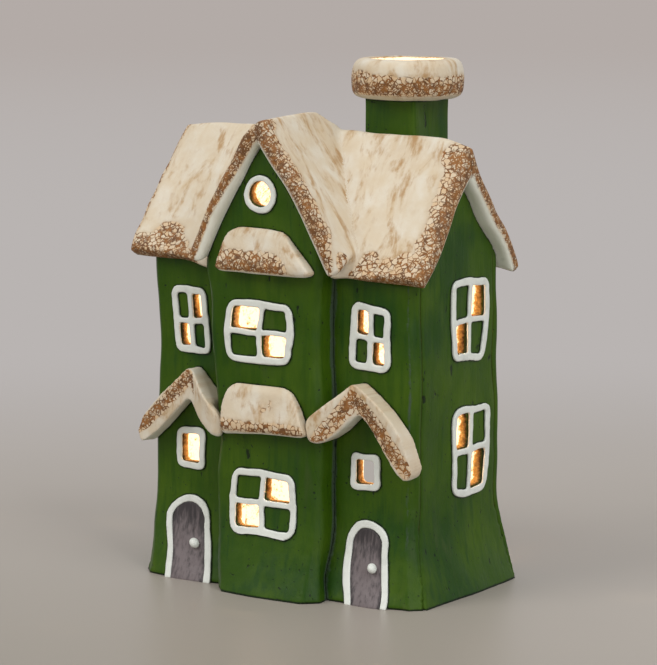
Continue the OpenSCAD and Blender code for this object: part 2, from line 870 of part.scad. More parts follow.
// A strip over the well with a dimple that presses on the cell
module top_contact() {
    color(metal) in_house() {
        translate([-well_r - well_wall, -contact_w / 2, well_top])
            cube([2 * (well_r + well_wall), contact_w, contact_t]);
        disc(contact_w / 2, cell_z + cell_h, well_top);
    }
}

// An upright strip in the gap beside the cell, with a tab over the well's rim
module side_contact() {
    color(metal) in_house() rotate([0, 0, 90]) {
        translate([cell_w / 2, -contact_w / 2, cell_z])
            cube([contact_t, contact_w, well_top + contact_t - cell_z]);
        translate([cell_w / 2, -contact_w / 2, well_top])
            cube([well_r + well_wall - cell_w / 2, contact_w, contact_t]);
    }
}

module lamp() {
    lead_x = lamp_w / 4;
    lead_top = deck_z - case_t;
    bend_z = (lead_top + well_top) / 2;
    tab_y = well_r + well_wall / 2;
    color(amber) in_house() {
        disc(lamp_w / 2 + case_t / 2, lead_top, deck_z);
        disc(lamp_w / 2, deck_z, light_h + lamp_w);
        translate([0, 0, light_h + lamp_w]) sphere(d = lamp_w);
        translate([-lead_x, 0, 0]) disc(lead_r, well_top + contact_t, lead_top);
        translate([lead_x, 0, 0]) disc(lead_r, bend_z, lead_top);
        translate([lead_x - lead_r, -lead_r, bend_z]) cube([2 * lead_r, tab_y + 2 * lead_r, 2 * lead_r]);
        translate([lead_x, tab_y, 0]) disc(lead_r, well_top + contact_t, bend_z);
    }
}

// A hollow drop of flame over the lamp
function drop_shape(w, h) = [for (p = flame_shares) [p[0] * w / 2, p[1] * h]];

module flame() {
    inner_w = flame_w - 2 * case_t;
    inner_h = flame_h - 2 * case_t;
    outer = drop_shape(flame_w, flame_h);
    inner = drop_shape(inner_w, inner_h);
    color(amber) in_house() translate([0, 0, light_h])
        rotate_extrude() polygon(concat(outer, reversed(inner)));
}

// The slider's flange lies over the plate, and its nub reaches down through the slot
module switch_slider() {
    top = plate_z + plate_t + play;
    flange = nub_w + switch_travel;
    color(metal) in_house() translate([-switch_travel / 2, -slot_r, 0]) {
        translate([-nub_w / 2, -nub_w / 2, play]) cube([nub_w, nub_w, top - play]);
        translate([-flange / 2, -nub_w / 2, top]) cube([flange, nub_w, case_t]);
    }
}

floor_slab();
left_wing_wall();
right_wing_wall();
bay_wall();
back_wall();
left_side_wall();
right_side_wall();
rear_roof_slab();
left_roof_slab();
right_roof_slab();
left_bay_roof();
right_bay_roof();
chimney_stack();
chimney_cap();
upper_ledge();
lower_ledge();
left_canopy();
right_canopy();
left_upper_frame();
right_upper_frame();
bay_upper_frame();
bay_lower_frame();
left_porch_frame();
right_porch_frame();
round_frame();
right_side_upper_frame();
right_side_lower_frame();
left_side_upper_frame();
left_side_lower_frame();
left_door_frame();
right_door_frame();
left_door_leaf();
right_door_leaf();
left_door_knob();
right_door_knob();
light_case();
light_base();
flame();
lamp();
coin_cell();
top_contact();
side_contact();
battery_cover();
switch_slider();
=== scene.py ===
import bpy
import bmesh
import math
import numpy as np
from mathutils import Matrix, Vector
from mathutils.bvhtree import BVHTree


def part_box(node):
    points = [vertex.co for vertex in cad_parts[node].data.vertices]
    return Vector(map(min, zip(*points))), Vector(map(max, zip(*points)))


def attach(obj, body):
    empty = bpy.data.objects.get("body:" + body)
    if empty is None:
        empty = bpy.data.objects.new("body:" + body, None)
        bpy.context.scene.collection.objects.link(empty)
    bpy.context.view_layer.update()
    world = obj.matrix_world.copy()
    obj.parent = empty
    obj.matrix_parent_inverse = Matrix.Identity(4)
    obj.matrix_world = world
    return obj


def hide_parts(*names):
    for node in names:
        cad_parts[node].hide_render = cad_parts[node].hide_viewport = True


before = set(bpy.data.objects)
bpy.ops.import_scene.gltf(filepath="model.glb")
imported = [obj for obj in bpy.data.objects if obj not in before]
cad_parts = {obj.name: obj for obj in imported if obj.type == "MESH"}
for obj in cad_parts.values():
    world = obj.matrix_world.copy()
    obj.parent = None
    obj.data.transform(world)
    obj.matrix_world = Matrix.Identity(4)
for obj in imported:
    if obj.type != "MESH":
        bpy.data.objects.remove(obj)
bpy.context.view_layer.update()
scene = bpy.context.scene

# Camera: place in metres, how far it is turned and tipped in degrees, lens and sensor in millimetres
cameraView = {"place": (0.833, -1.280, 0.353), "turn": 33, "down": 8.2, "lens": 154.3, "sensor": 36}


def addCamera():
    turn = math.radians(cameraView["turn"])
    down = math.radians(cameraView["down"])
    forward = Vector((-math.sin(turn) * math.cos(down), math.cos(turn) * math.cos(down), -math.sin(down)))
    lens = bpy.data.cameras.new("camera")
    lens.lens = cameraView["lens"]
    lens.sensor_width = cameraView["sensor"]
    camera = bpy.data.objects.new("camera", lens)
    camera.location = cameraView["place"]
    camera.rotation_mode = "QUATERNION"
    camera.rotation_quaternion = forward.to_track_quat("-Z", "Y")
    scene.collection.objects.link(camera)
    scene.camera = camera


addCamera()
print("camera placed")


# Shader sums: an expression on values adds its own nodes
class Value:
    def __init__(self, finish, socket):
        self.finish = finish
        self.socket = socket

    def sum(self, kind, first, second):
        return self.finish.node("ShaderNodeMath", {"operation": kind}, {0: first, 1: second})

    def __add__(self, other):
        return self.sum("ADD", self, other)

    def __sub__(self, other):
        return self.sum("SUBTRACT", self, other)

    def __rsub__(self, other):
        return self.sum("SUBTRACT", other, self)

    def __mul__(self, other):
        return self.sum("MULTIPLY", self, other)

    def most(self, other):
        return self.sum("MAXIMUM", self, other)


# A material under construction, with one method that makes any node
class Finish:
    def __init__(self, name):
        self.material = bpy.data.materials.new(name)
        self.material.use_nodes = True
        self.tree = self.material.node_tree
        self.tree.nodes.clear()
        self.place = self.node("ShaderNodeTexCoord", out="Object")

    def node(self, kind, settings=None, sockets=None, out=0):
        made = self.tree.nodes.new(kind)
        for key, value in (settings or {}).items():
            setattr(made, key, value)
        for key, value in (sockets or {}).items():
            if isinstance(value, Value):
                self.tree.links.new(value.socket, made.inputs[key])
            else:
                made.inputs[key].default_value = value
        return Value(self, made.outputs[out])

    def mark(self, name, out="Fac"):
        return self.node("ShaderNodeAttribute", {"attribute_name": name}, out=out)

    # The object's own places, jostled by noise
    def pushed(self, amount, scale):
        noise = {"Vector": self.place, "Scale": scale, "Detail": 2.0}
        push = self.node("ShaderNodeTexNoise", None, noise, "Color")
        by = self.node("ShaderNodeVectorMath", {"operation": "MULTIPLY_ADD"}, {
            0: push, 1: (amount, amount, amount), 2: (-amount / 2, -amount / 2, -amount / 2)})
        return self.node("ShaderNodeVectorMath", {"operation": "ADD"}, {0: self.place, 1: by})

    def cells(self, where, scale, out="Distance"):
        settings = {"feature": "DISTANCE_TO_EDGE" if out == "Distance" else "F1"}
        return self.node("ShaderNodeTexVoronoi", settings, {"Vector": where, "Scale": scale}, out)

    # Noise, drawn out into streaks where it has a scale for each direction
    def clouds(self, noise, where=None):
        scale, detail, rough, bend = (*noise, 0)[:4]
        place = where or self.place
        if isinstance(scale, tuple):
            place = self.node("ShaderNodeVectorMath", {"operation": "MULTIPLY"}, {0: place, 1: scale})
            scale = 1
        return self.node("ShaderNodeTexNoise", None, {
            "Vector": place, "Scale": scale, "Detail": detail, "Roughness": rough, "Distortion": bend})

    def spread(self, value, edges, to=(0, 1)):
        return self.node("ShaderNodeMapRange", {"interpolation_type": "SMOOTHSTEP"}, {
            "Value": value, "From Min": edges[0], "From Max": edges[1], "To Min": to[0], "To Max": to[1]})

    def blend(self, amount, first, second):
        mix = self.tree.nodes.new("ShaderNodeMix")
        mix.data_type = "RGBA"
        for key, value in ((0, amount), (6, first), (7, second)):
            if isinstance(value, Value):
                self.tree.links.new(value.socket, mix.inputs[key])
            else:
                mix.inputs[key].default_value = (*value, 1)
        return Value(self, mix.outputs[2])

    # One more coat, where the value is past its edges
    def coat(self, coat, value, under):
        over, low, high, amount = coat
        return self.blend(self.spread(value, (low, high)) * amount, under, over)

    def bump(self, height, bump):
        distance, strength = bump
        return self.node("ShaderNodeBump", None, {
            "Height": height, "Distance": distance, "Strength": strength})

    # Roughness that goes from its first number to its second over the patches
    def gloss(self, patches, rough):
        return self.spread(patches, (0.3, 0.7), rough)

    def shader(self, **sockets):
        wanted = {key.replace("_", " "): value for key, value in sockets.items()}
        return self.node("ShaderNodeBsdfPrincipled", None, wanted)

    def finished(self, surface=None, **sockets):
        out = self.tree.nodes.new("ShaderNodeOutputMaterial")
        self.tree.links.new((surface or self.shader(**sockets)).socket, out.inputs["Surface"])
        return self.material


# A screen colour, 0 to 255, as the linear one that Blender wants
def tone(*screen):
    return tuple(c / 255 / 12.92 if c <= 10 else ((c / 255 + 0.055) / 1.055) ** 2.4 for c in screen)

# Shapes
# The hand-made house is off from its ruled outline: pins in millimetres, each a place and how far off it
# is, a pull's reach and firmness, and the heights where the walls join the roof and the table
handPull = {
    "reach": 20, "firmness": 0.06, "eaves": (158, 170), "foot": (0, 10), "batch": 20000,
    "roof": [
        (-91, 0, 240, 0, 0, 2.3), (-72, 0, 240, 0, 0, 4.4), (-50, 0, 240, 0, 0, 4.6),
        (-25, 0, 241, 0, 0, 4), (0, -6, 250, 0, 0, 0.5), (10, 0, 240, 0, 0, 3.6), (25, 0, 240, 0, 0, 3),
        (50, 0, 240, 0, 0, 2.2), (75, 0, 240, 0, 0, 1.6), (84, 0, 240, 0, 0, -1),
        (91, 0, 240, 0, 0, -3.5), (-91, -4, 237, -1.5, 0, 2.5), (-91, -20, 215.5, -3.8, 0, 3.5),
        (-91, -33, 198, -4.2, 0, 4.5), (-91, -46, 181, -4, 0, 5), (-91, -52, 172, -2.8, 0, 5.5),
        (-75, -50, 170, 0, 0, 4.3), (-58, -50, 170, 0, 0, 4.4), (-75, -33, 192, 0, 0, 3),
        (-58, -33, 192, 0, 0, 2.5), (42, -48, 169, 0, 0, 1.2), (70, -48, 169, 0, 0, 0.2),
        (90, -47, 169, -0.6, 0, -0.6), (90, -31, 185, 0, 0, -5), (90, -18, 203, 0, 0, -4.2),
        (90, -8, 216, 0, 0, -4), (88, 3, 222, 0, 0, -8), (91, 5, 235, 0, 0, -5),
        (91, 20, 214.5, 0, 0, -3), (91, 35, 195, 0, 0, 0), (83, 13, 210, 0, 0, -4.3),
        (83, 20, 200, 0, 0, -4), (83, 38, 177, 0, 0, 2.5), (91, 48, 166, 0, 0, -3),
    ],
    "gable": [
        (-8, -62, 243, -2.8, 0, 1.9), (-15, -62, 233, -2.3, 0, 1.5), (-24, -62, 219, -1.7, 0, 1.1),
        (-32, -62, 207, -1, 0, 0.7), (-38, -62, 197, 0, 0, 0), (-46.5, -63, 184.7, -1.4, 0, -6.9),
        (-39, -63, 179.7, -0.5, 0, -5.7), (30, -63, 193.5, 0, 0, -3), (46.5, -63, 184.7, 1, 4, -9),
        (39, -63, 179.7, -0.4, 3, -9.4), (0, -62, 253, 0, 0, -2), (0, -57, 236, -3, 0, 0),
        (-20, -60, 213, -1, 0, 1), (20, -60, 213, 0, 0, 0),
    ],
    "windows": [
        (-10.4, -58, 211, -2.8, 0, 1), (10.4, -58, 211, -4.2, 0, 1), (-3, -58, 221.4, -3.5, 0, 0.2),
        (0, -58, 200.6, -3.7, 0, 2.8), (0, -57, 234, -3, 0, 0), (0, -58, 186, 0, 0, 0),
        (0, -58, 100, 0, 0, 0), (57, -44, 108, 0, 0, 0), (84, 12, 110, 0, 0, 0),
        (-21.3, -58, 139, -5.4, 0, 0), (21.3, -58, 139, -4.8, 0, 0), (0, -58, 156.5, -2.5, 0, 0),
        (0, -58, 121.5, -3, 0, 1.4), (19, -58, 154.5, -6, 0, -1.2), (-19, -58, 123.5, -4.2, 0, 2.2),
        (19, -58, 123.5, -6, 0, 2.4), (-21.3, -59, 48, -2.6, 0, 0), (21.3, -59, 48, -1.8, 0, 0),
        (0, -58, 60, -3, 0, 0), (20, -58, 64, -4, 0, -0.8), (45, -44, 140, -1.5, 0, 0),
        (68, -44, 157, -2, 0, -3.5), (55.5, -44, 69, -2.7, 0, -0.3), (55.5, -44, 80, -2.5, 0, -1.4),
        (55.5, -44, 58, -2.7, 0, 1.7), (-55.5, -44, 69, -3.6, 0, 1), (-55.5, -44, 80, -3.6, 0, 2.4),
        (-55.5, -44, 58, -3.6, 0, 1), (84, -8, 144, 0, 0, 0), (84, 29, 150, 0, 1.3, 0),
        (84, 11, 121.5, 0, 0, 1.9), (84, 28, 122, 0, -3, 0.6), (84, -6, 123, 0, 2.5, 2.6),
        (84, 2, 163, 0, 0, 1.3), (44, -44, 158, -1.4, 0, 0.2), (84, 11, 97.5, 0, 0, 2.3),
        (85, 8, 52.4, 0, 0, -2), (84, -8, 75, 0, 2.3, 0), (85, -8, 55, 0, 4, 0),
    ],
    "doors": [
        (-71.5, -55, 0, 3.2, 0, 0), (-43.5, -55, 0, 4.6, 0, 0), (-71.5, -46, 30, -2, 0, 0),
        (-43.5, -46, 30, -0.8, 0, 0), (-57.5, -45, 44.5, -0.5, 0, 0.2), (43.5, -55, 0, 4.6, 0, 0),
        (71.5, -55, 0, 1, 0, 0), (43.5, -46, 28, 0.2, 0, 0), (71.5, -46, 28, -3.2, 0, 0),
        (57.5, -45, 44.5, -2, 0, -1.2),
    ],
    "corners": [
        (-83, -43, 170, -1.9, 0, 0), (-83, -43, 150, -0.2, 0, 0), (-83, -43, 128, 1, 0, 0),
        (-83, -43, 75, -1.1, 0, 0), (-86, -45, 27, 0.3, 0, 0), (-90, -46, 6, 5, 0, 0),
        (-90, -49, 0, 4, 3, 0), (-34.5, -57, 175, -7, 0, 0), (-34.5, -57, 155, -3.2, 0, 0),
        (-34.5, -57, 125, -2, 0, 0), (-34.5, -57, 79, 2, 0, 0), (-34.5, -57, 45, 1.1, 0, 0),
        (-34.5, -58, 30, 2.4, 0, 0), (-34.5, -62, 13, 4, 0, 0), (-34.5, -67, 0, 5.8, 2, 0),
        (0, -69, 0, 0, -1, 0), (34.5, -64, 0, 2, 0, 0), (34.5, -46, 8, -4, 0, 0),
        (34.5, -44, 70, -1, 0, 0), (78, -55, 0, 0, 2.6, 0), (92, 0, 0, 2, 0, 0), (92, 35, 0, 2, 0, 0),
        (83, 43, 165, 0, 0, 0), (83, 43, 150, 0, 1, 0), (83, 43, 130, 0, 3.5, 0),
        (83, 43, 100, 0, 4.6, 0), (84, 43, 70, 0, 4.6, 0), (88, 44, 41, 0, 4.5, 0),
        (88, 46, 21, 0, 6.5, 0), (90, 48, 4, 1, 3, 0),
    ],
    "ledges": [
        (20, -60, 194, -6.5, 0, -3.2), (0, -59, 196.5, 0, 0, -1.8), (-20, -60, 194, -1.5, 0, -2),
        (30, -65, 173, 1.2, 0, 0), (-30, -65, 173, 2.8, 0, 0), (-28, -65, 87, 4.5, 0, 2),
        (-27, -63, 97, -1.8, 0, 0), (-37, -54, 106, -2.4, 0, -0.6), (0, -65, 87, 0, 0, 0.7),
        (28, -65, 87, 0.8, 0, 1), (-14.6, -59, 111, -5, 0, 0.8), (14.6, -59, 111, -2.8, 0, 1),
        (24, -62, 99.7, 0.5, 0, 0.5), (-54.8, -52, 116, 2, 0, 0.8), (-56, -54, 99.6, 2.3, 0, 1),
        (-88, -54, 83, 2.5, 0, -1.5), (-90, -54, 75.6, 4, 0, 3.4), (-81, -54, 71, -1, 0, 2.1),
        (-66, -54, 89.7, 0, 0, -2), (-28.5, -60, 96, -0.8, 0, 0), (-27.5, -62, 84.5, 0, 0, -3),
        (29, -60, 95, -1.8, 0, 2.2), (35, -58, 84, 0, 0, 0), (89, -52, 92, -4.2, 0, 0),
        (93, -54, 74, -2.7, 0, -4.5), (86, -54, 70.5, -3.7, 0, -1.4), (55, -52, 116, -3, 0, 1),
        (55, -54, 100, -0.5, 0, 2), (36, -5, 272, 1.3, 0, 0), (36, 54, 272, 1.3, 0, 0),
    ],
}

handWaves = {
    "seed": 7, "count": 9, "swell": 0.3, "length": 55, "ripple": 0.12, "rippleLength": 15,
    "share": (1, 1, 0.6),
}


def waveField(seed, size, length):
    random = np.random.default_rng(seed)
    count = handWaves["count"]
    turns = random.normal(size=(count, 3))
    turns *= (2 * math.pi / length / np.linalg.norm(turns, axis=1))[:, None]
    phases = random.uniform(0, 2 * math.pi, (3, count))
    return turns, phases, size / math.sqrt(count)


def wavesAt(points, field):
    turns, phases, size = field
    angles = points @ turns.T
    return np.stack([np.sin(angles + phases[axis]).sum(axis=1) * size for axis in range(3)], axis=1)


swellField = waveField(handWaves["seed"], handWaves["swell"], handWaves["length"])
rippleField = waveField(handWaves["seed"] + 1, handWaves["ripple"], handWaves["rippleLength"])


# How strongly each pin pulls at each point: 1 at the pin, and smoothly less with distance
def pinReach(points, places):
    apart = np.sqrt(((points[:, None, :] - places[None, :, :]) ** 2).sum(axis=2))
    far = math.sqrt(3) * apart / handPull["reach"]
    return (1 + far) * np.exp(-far)


# Pulls that together bring every pin to its place
def pullField(*parts):
    pins = np.array([pin for part in parts for pin in handPull[part]], float)
    places, offs = pins[:, :3], pins[:, 3:]
    firm = handPull["firmness"] * np.eye(len(pins))
    return places, np.linalg.solve(pinReach(places, places) + firm, offs)


wallField = pullField("windows", "doors", "corners")
roofField = pullField("roof", "gable")
ledgeField = pullField("ledges")


def pulled(points, field):
    places, pulls = field
    moved = np.zeros_like(points)
    for start in range(0, len(points), handPull["batch"]):
        some = slice(start, start + handPull["batch"])
        moved[some] = pinReach(points[some], places) @ pulls
    return moved


# Points in millimetres, moved as by hand: the foot stays on the table and the walls reach the roof
def madeByHand(points, part):
    moved = wavesAt(points, swellField) * handWaves["share"] + wavesAt(points, rippleField)
    moved += pulled(points, {"roof": roofField, "ledges": ledgeField}.get(part, wallField))
    if part == "walls":
        moved[:, 2] += pulled(points, roofField)[:, 2] * between(points[:, 2], *handPull["eaves"])
    moved[:, 2] *= between(points[:, 2], *handPull["foot"])
    shaped = points + moved
    shaped[:, 2] = np.maximum(shaped[:, 2], 0)
    return shaped


def vectorsOf(piece, kind):
    flat = np.empty(len(piece.data.vertices) * 3)
    piece.data.vertices.foreach_get(kind, flat)
    return flat.reshape(-1, 3)


def pointsOf(piece):
    return vectorsOf(piece, "co") * 1000


def setPoints(piece, points):
    piece.data.vertices.foreach_set("co", (points / 1000).ravel())
    piece.data.update()


def setMark(piece, name, values):
    layer = piece.data.attributes.new(name, "FLOAT", "POINT")
    layer.data.foreach_set("value", np.clip(values, 0, 1).astype(np.float32))


# Where a brush stroke across and down the surface would go, in metres
def setStrokes(piece, across, down):
    layer = piece.data.attributes.new("strokes", "FLOAT_VECTOR", "POINT")
    where = np.stack([across, down, np.zeros(len(across))], axis=1) / 1000
    layer.data.foreach_set("vector", where.ravel().astype(np.float32))


# 0 at low and 1 at high, whichever of them is the larger number
def between(value, low, high):
    return np.clip((value - low) / (high - low), 0, 1)


def linkPiece(name, mesh):
    piece = bpy.data.objects.new(name, mesh)
    scene.collection.objects.link(piece)
    return piece


# Turns a piece's modifiers into its mesh
def applied(piece):
    graph = bpy.context.evaluated_depsgraph_get()
    mesh = bpy.data.meshes.new_from_object(piece.evaluated_get(graph))
    mesh.name = piece.name
    piece.modifiers.clear()
    old = piece.data
    piece.data = mesh
    bpy.data.meshes.remove(old)


# A node has its piece's name, written the other way
def nodeOf(name):
    return "".join("_" + letter.lower() if letter.isupper() else letter for letter in name)


clayLook = {"merge": 1e-6, "rub": 0.5, "wearDepth": 0.6, "touch": 2.6, "foot": (1.9, 0.6)}


# A solid as soft clay, by its grain, rubs and rounds of wear: merged, remade in even faces, rubbed round
def clay(name, soft, nodes=None):
    grain, rubs, wear = soft
    shape = bmesh.new()
    for node in nodes or [nodeOf(name)]:
        shape.from_mesh(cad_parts[node].data)
    bmesh.ops.remove_doubles(shape, verts=shape.verts, dist=clayLook["merge"])
    mesh = bpy.data.meshes.new(name)
    shape.to_mesh(mesh)
    shape.free()
    piece = linkPiece(name, mesh)
    remesh = piece.modifiers.new("remesh", "REMESH")
    remesh.mode = "VOXEL"
    remesh.voxel_size = grain / 1000
    smooth = piece.modifiers.new("smooth", "SMOOTH")
    smooth.factor = clayLook["rub"]
    smooth.iterations = rubs
    applied(piece)
    piece.data.shade_smooth()
    if wear:
        markWear(piece, wear)
    return piece


# How far a rubbed copy falls inside tells the corners from the valleys
def markWear(piece, rounds):
    points = pointsOf(piece)
    ends = np.empty(len(piece.data.edges) * 2, int)
    piece.data.edges.foreach_get("vertices", ends)
    first, second = ends.reshape(-1, 2).T
    count = np.bincount(ends, minlength=len(points)).astype(float)
    soft = points.copy()
    for _ in range(rounds):
        near = np.zeros_like(soft)
        for axis in range(3):
            near[:, axis] = np.bincount(first, soft[second, axis], len(points))
            near[:, axis] += np.bincount(second, soft[first, axis], len(points))
        soft = 0.5 * soft + 0.5 * near / np.maximum(count, 1)[:, None]
    depth = ((points - soft) * vectorsOf(piece, "normal")).sum(axis=1) / clayLook["wearDepth"]
    setMark(piece, "corner", depth)
    setMark(piece, "valley", -depth)


def treeOf(pieces):
    points, faces = [], []
    for piece in pieces:
        start = len(points)
        points += [vertex.co.copy() for vertex in piece.data.vertices]
        faces += [[start + i for i in polygon.vertices] for polygon in piece.data.polygons]
    return BVHTree.FromPolygons(points, faces)


# Painted shade where another piece meets the wall, and along the foot
def markContactShade(piece, tree):
    reach = clayLook["touch"]
    near = np.zeros(len(piece.data.vertices))
    for vertex in piece.data.vertices:
        found = tree.find_nearest(vertex.co, reach / 1000)
        if found[0] is not None:
            near[vertex.index] = 1 - found[3] * 1000 / reach
    foot = between(pointsOf(piece)[:, 2], *clayLook["foot"])
    setMark(piece, "touch", np.maximum(near, foot))


def settle(piece, material, nodes=None):
    nodes = nodes or [nodeOf(piece.name)]
    piece.data.materials.clear()
    piece.data.materials.append(material)
    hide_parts(*nodes)
    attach(piece, "house")
    return piece

# Materials
# A noise is its scale, detail, roughness and bend; a coat is its tone, its two edges and its strength
mossLook = {
    "mid": tone(47, 77, 8), "light": (tone(66, 93, 12), 0.38, 0.66, 1),
    "deep": (tone(26, 62, 16), 0.47, 0.62, 0.8), "dull": (tone(66, 82, 36), 0.56, 0.72, 0.7),
    "fine": (tone(13, 20, 16), 0.6, 0.8, 0.3), "worn": (tone(88, 110, 60), 0.7, 1.3, 0.12),
    # near black for the painted shade in creases and at contacts, and also the tone of the specks and
    # pits
    "paintedShade": tone(13, 20, 16), "seam": tone(70, 82, 74), "patches": (26, 3, 0.55),
    "streaks": ((240, 240, 26), 4, 0.6), "fineStreaks": ((900, 900, 70), 3, 0.6),
    "cool": (15, 3, 0.5, 0.6), "dullStreaks": ((34, 34, 12), 3, 0.55), "grit": (420, 2, 0.6),
    "broken": ((260, 260, 60), 3, 0.6), "specks": (560, 1, 0.4), "pits": ((190, 190, 95), 2, 0.5),
    "grain": (150, 3, 0.5), "valleyEdges": (0.3, 0.75), "contactShadeEdges": (0.5, 0.9),
    "seamEdges": (0.35, 0.75), "speckEdges": (0.72, 0.76), "pitEdges": (0.7, 0.74),
    "cornerEdges": (0.4, 1), "paintedShadeAmount": 0.85, "seamAmount": 0.7, "speckAmount": 0.8,
    "rough": (0.33, 0.49), "insideRough": 0.4, "seamRough": 0.3, "cornerRough": 0.25, "specular": 0.17,
    "bump": (0.0007, 0.5),
}
glowLook = {
    "clay": tone(158, 116, 62), "shadedClay": tone(60, 36, 14), "amber": tone(166, 114, 42),
    "bright": tone(250, 232, 196), "strength": 1.5, "grain": (170, 4, 0.7), "grainAmount": 0.95,
    "flecks": (620, 3, 0.65), "fleckAmount": 0.9, "clayEdges": (0.05, 0.5), "litEdges": (0.68, 0.98),
    "shineEdges": (0.38, 0.95),
}


# Bare clay with the flame's light painted on: a dark painted shade at the edge, an amber painted glow in
# the cut, nearly white further in
def addGlow(finish, color):
    look = glowLook
    inside = finish.mark("inside")
    grain = (finish.clouds(look["grain"]) - 0.5) * look["grainAmount"]
    flecks = (finish.clouds(look["flecks"]) - 0.5) * look["fleckAmount"]
    level = finish.mark("glow") + grain + flecks
    base = finish.blend(
        inside, color, finish.blend(finish.spread(level, look["clayEdges"]), look["shadedClay"], look["clay"]))
    lit = finish.blend(finish.spread(level, look["litEdges"]), look["amber"], look["bright"])
    shine = finish.blend(inside * finish.spread(level, look["shineEdges"]), (0, 0, 0), lit)
    return {"Base_Color": base, "Emission_Color": shine, "Emission_Strength": look["strength"]}


def mossGlaze():
    finish = Finish("mossGlaze")
    look = mossLook
    patches, streaks, grit, broken = (
        finish.clouds(look[name]) for name in ("patches", "streaks", "grit", "broken"))
    corner = finish.mark("corner")
    color = finish.coat(look["light"], patches * 0.5 + streaks * 0.5, look["mid"])
    color = finish.coat(look["deep"], finish.clouds(look["cool"]) * 0.6 + streaks * 0.4, color)
    color = finish.coat(look["dull"], finish.clouds(look["dullStreaks"]) * 0.7 + streaks * 0.3, color)
    color = finish.coat(look["fine"], finish.clouds(look["fineStreaks"]), color)
    # painted shade: near black in the creases, where other pieces meet the wall, and along the foot
    valley = finish.spread(finish.mark("valley") + (broken - 0.5) * 0.8, look["valleyEdges"])
    touch = finish.spread(finish.mark("touch") + (grit - 0.5) * 0.6, look["contactShadeEdges"])
    paintedShade = valley.most(touch)
    color = finish.blend(paintedShade * look["paintedShadeAmount"], color, look["paintedShade"])
    seam = finish.mark("seam") + (broken - 0.5) * 1.2 + (grit - 0.5) * 0.5
    seam = finish.spread(seam, look["seamEdges"])
    color = finish.blend(seam * look["seamAmount"], color, look["seam"])
    color = finish.coat(look["worn"], corner + (streaks - 0.5) * 1.2, color)
    specks = finish.spread(finish.clouds(look["specks"]), look["speckEdges"])
    pits = finish.spread(finish.clouds(look["pits"]), look["pitEdges"])
    # dark specks and pits in the glaze, in the same near-black tone as the painted shade
    color = finish.blend(specks.most(pits) * look["speckAmount"], color, look["paintedShade"])
    rough = finish.gloss(patches, look["rough"]) + finish.mark("inside") * look["insideRough"]
    rough = rough + finish.spread(corner, look["cornerEdges"]) * look["cornerRough"]
    rough = rough + seam * look["seamRough"]
    height = streaks * 0.5 + finish.clouds(look["grain"]) * 0.6 + grit * 0.12 - specks * 0.4 - pits * 0.6
    height = height - paintedShade * 0.3 + seam * grit * 0.8
    return finish.finished(
        Roughness=rough, Normal=finish.bump(height, look["bump"]), Specular_IOR_Level=look["specular"],
        **addGlow(finish, color))


snowLook = {
    "cream": tone(211, 196, 171), "white": (tone(219, 211, 195), 0.4, 0.6, 1),
    "warm": (tone(201, 175, 136), 0.44, 0.62, 0.5), "painted": (tone(172, 134, 86), 0.5, 0.64, 0.9),
    "stain": (tone(172, 134, 86), 0.0, 0.45, 0.3), "soffit": tone(230, 231, 218),
    "mottle": (95, 4, 0.6), "patches": (24, 3, 0.55, 0.4), "broadStrokes": ((96, 34, 96), 4, 0.6, 0.7),
    "hairStrokes": ((330, 120, 330), 4, 0.65), "rough": (0.5, 0.65), "specular": 0.3,
    "bump": (0.0009, 0.6),
}
crackleLook = {
    "island": tone(214, 184, 146), "cell": (tone(219, 202, 176), 0.2, 0.85, 1), "crack": tone(98, 58, 20),
    "rust": (tone(144, 90, 32), 0.36, 0.62, 1), "ragged": (85, 2, 0.5), "fineRagged": (300, 2, 0.5),
    "dense": (150, 2, 0.5), "lineNoise": (330, 3, 0.65), "blots": (330, 4, 0.7), "brown": (230, 3, 0.6),
    "cells": 350, "fineCells": 700, "bend": (0.0026, 300), "edges": (0.26, 0.4), "denseEdges": (0.45, 1),
    "widths": (0.035, 0.17), "widthEdges": (0.38, 0.64), "denseWidth": 0.06, "fineWidth": 0.03,
    "fineDenseWidth": 0.1, "fineEdges": (0.4, 0.7), "blotEdges": (0.53, 0.58), "blotDense": (0.35, 0.8),
    "blotAmount": 0.9, "islandAmount": 0.85, "groundAmount": 0.95,
}


# Crackle towards the rims: pale cells on a brown ground, and how far the ground covers
def addCrackle(finish, color):
    look = crackleLook
    ragged = (finish.clouds(look["ragged"]) - 0.5) * 0.6 + (finish.clouds(look["fineRagged"]) - 0.5) * 0.3
    ragged = finish.mark("rim") + ragged
    color = finish.coat(snowLook["stain"], ragged, color)
    crackled = finish.spread(ragged, look["edges"])
    dense = finish.spread(ragged + (finish.clouds(look["dense"]) - 0.5) * 0.9, look["denseEdges"])
    bent = finish.pushed(*look["bend"])
    wide = finish.spread(finish.clouds(look["lineNoise"]), look["widthEdges"], look["widths"])
    wide = wide + dense * look["denseWidth"]
    lines = 1 - finish.spread(finish.cells(bent, look["cells"]), (wide * 0.5, wide))
    wide = dense * look["fineDenseWidth"] + look["fineWidth"]
    fineLines = 1 - finish.spread(finish.cells(bent, look["fineCells"]), (wide * 0.5, wide))
    fineLines = fineLines * finish.spread(dense, look["fineEdges"])
    blots = finish.spread(finish.clouds(look["blots"]), look["blotEdges"])
    blots = blots * finish.spread(dense, look["blotDense"]) * look["blotAmount"]
    ground = lines.most(fineLines).most(blots) * crackled
    island = finish.coat(look["cell"], finish.cells(bent, look["cells"], "Color"), look["island"])
    color = finish.blend(crackled * look["islandAmount"], color, island)
    brown = finish.coat(look["rust"], finish.clouds(look["brown"]), look["crack"])
    return finish.blend(ground * look["groundAmount"], color, brown), ground


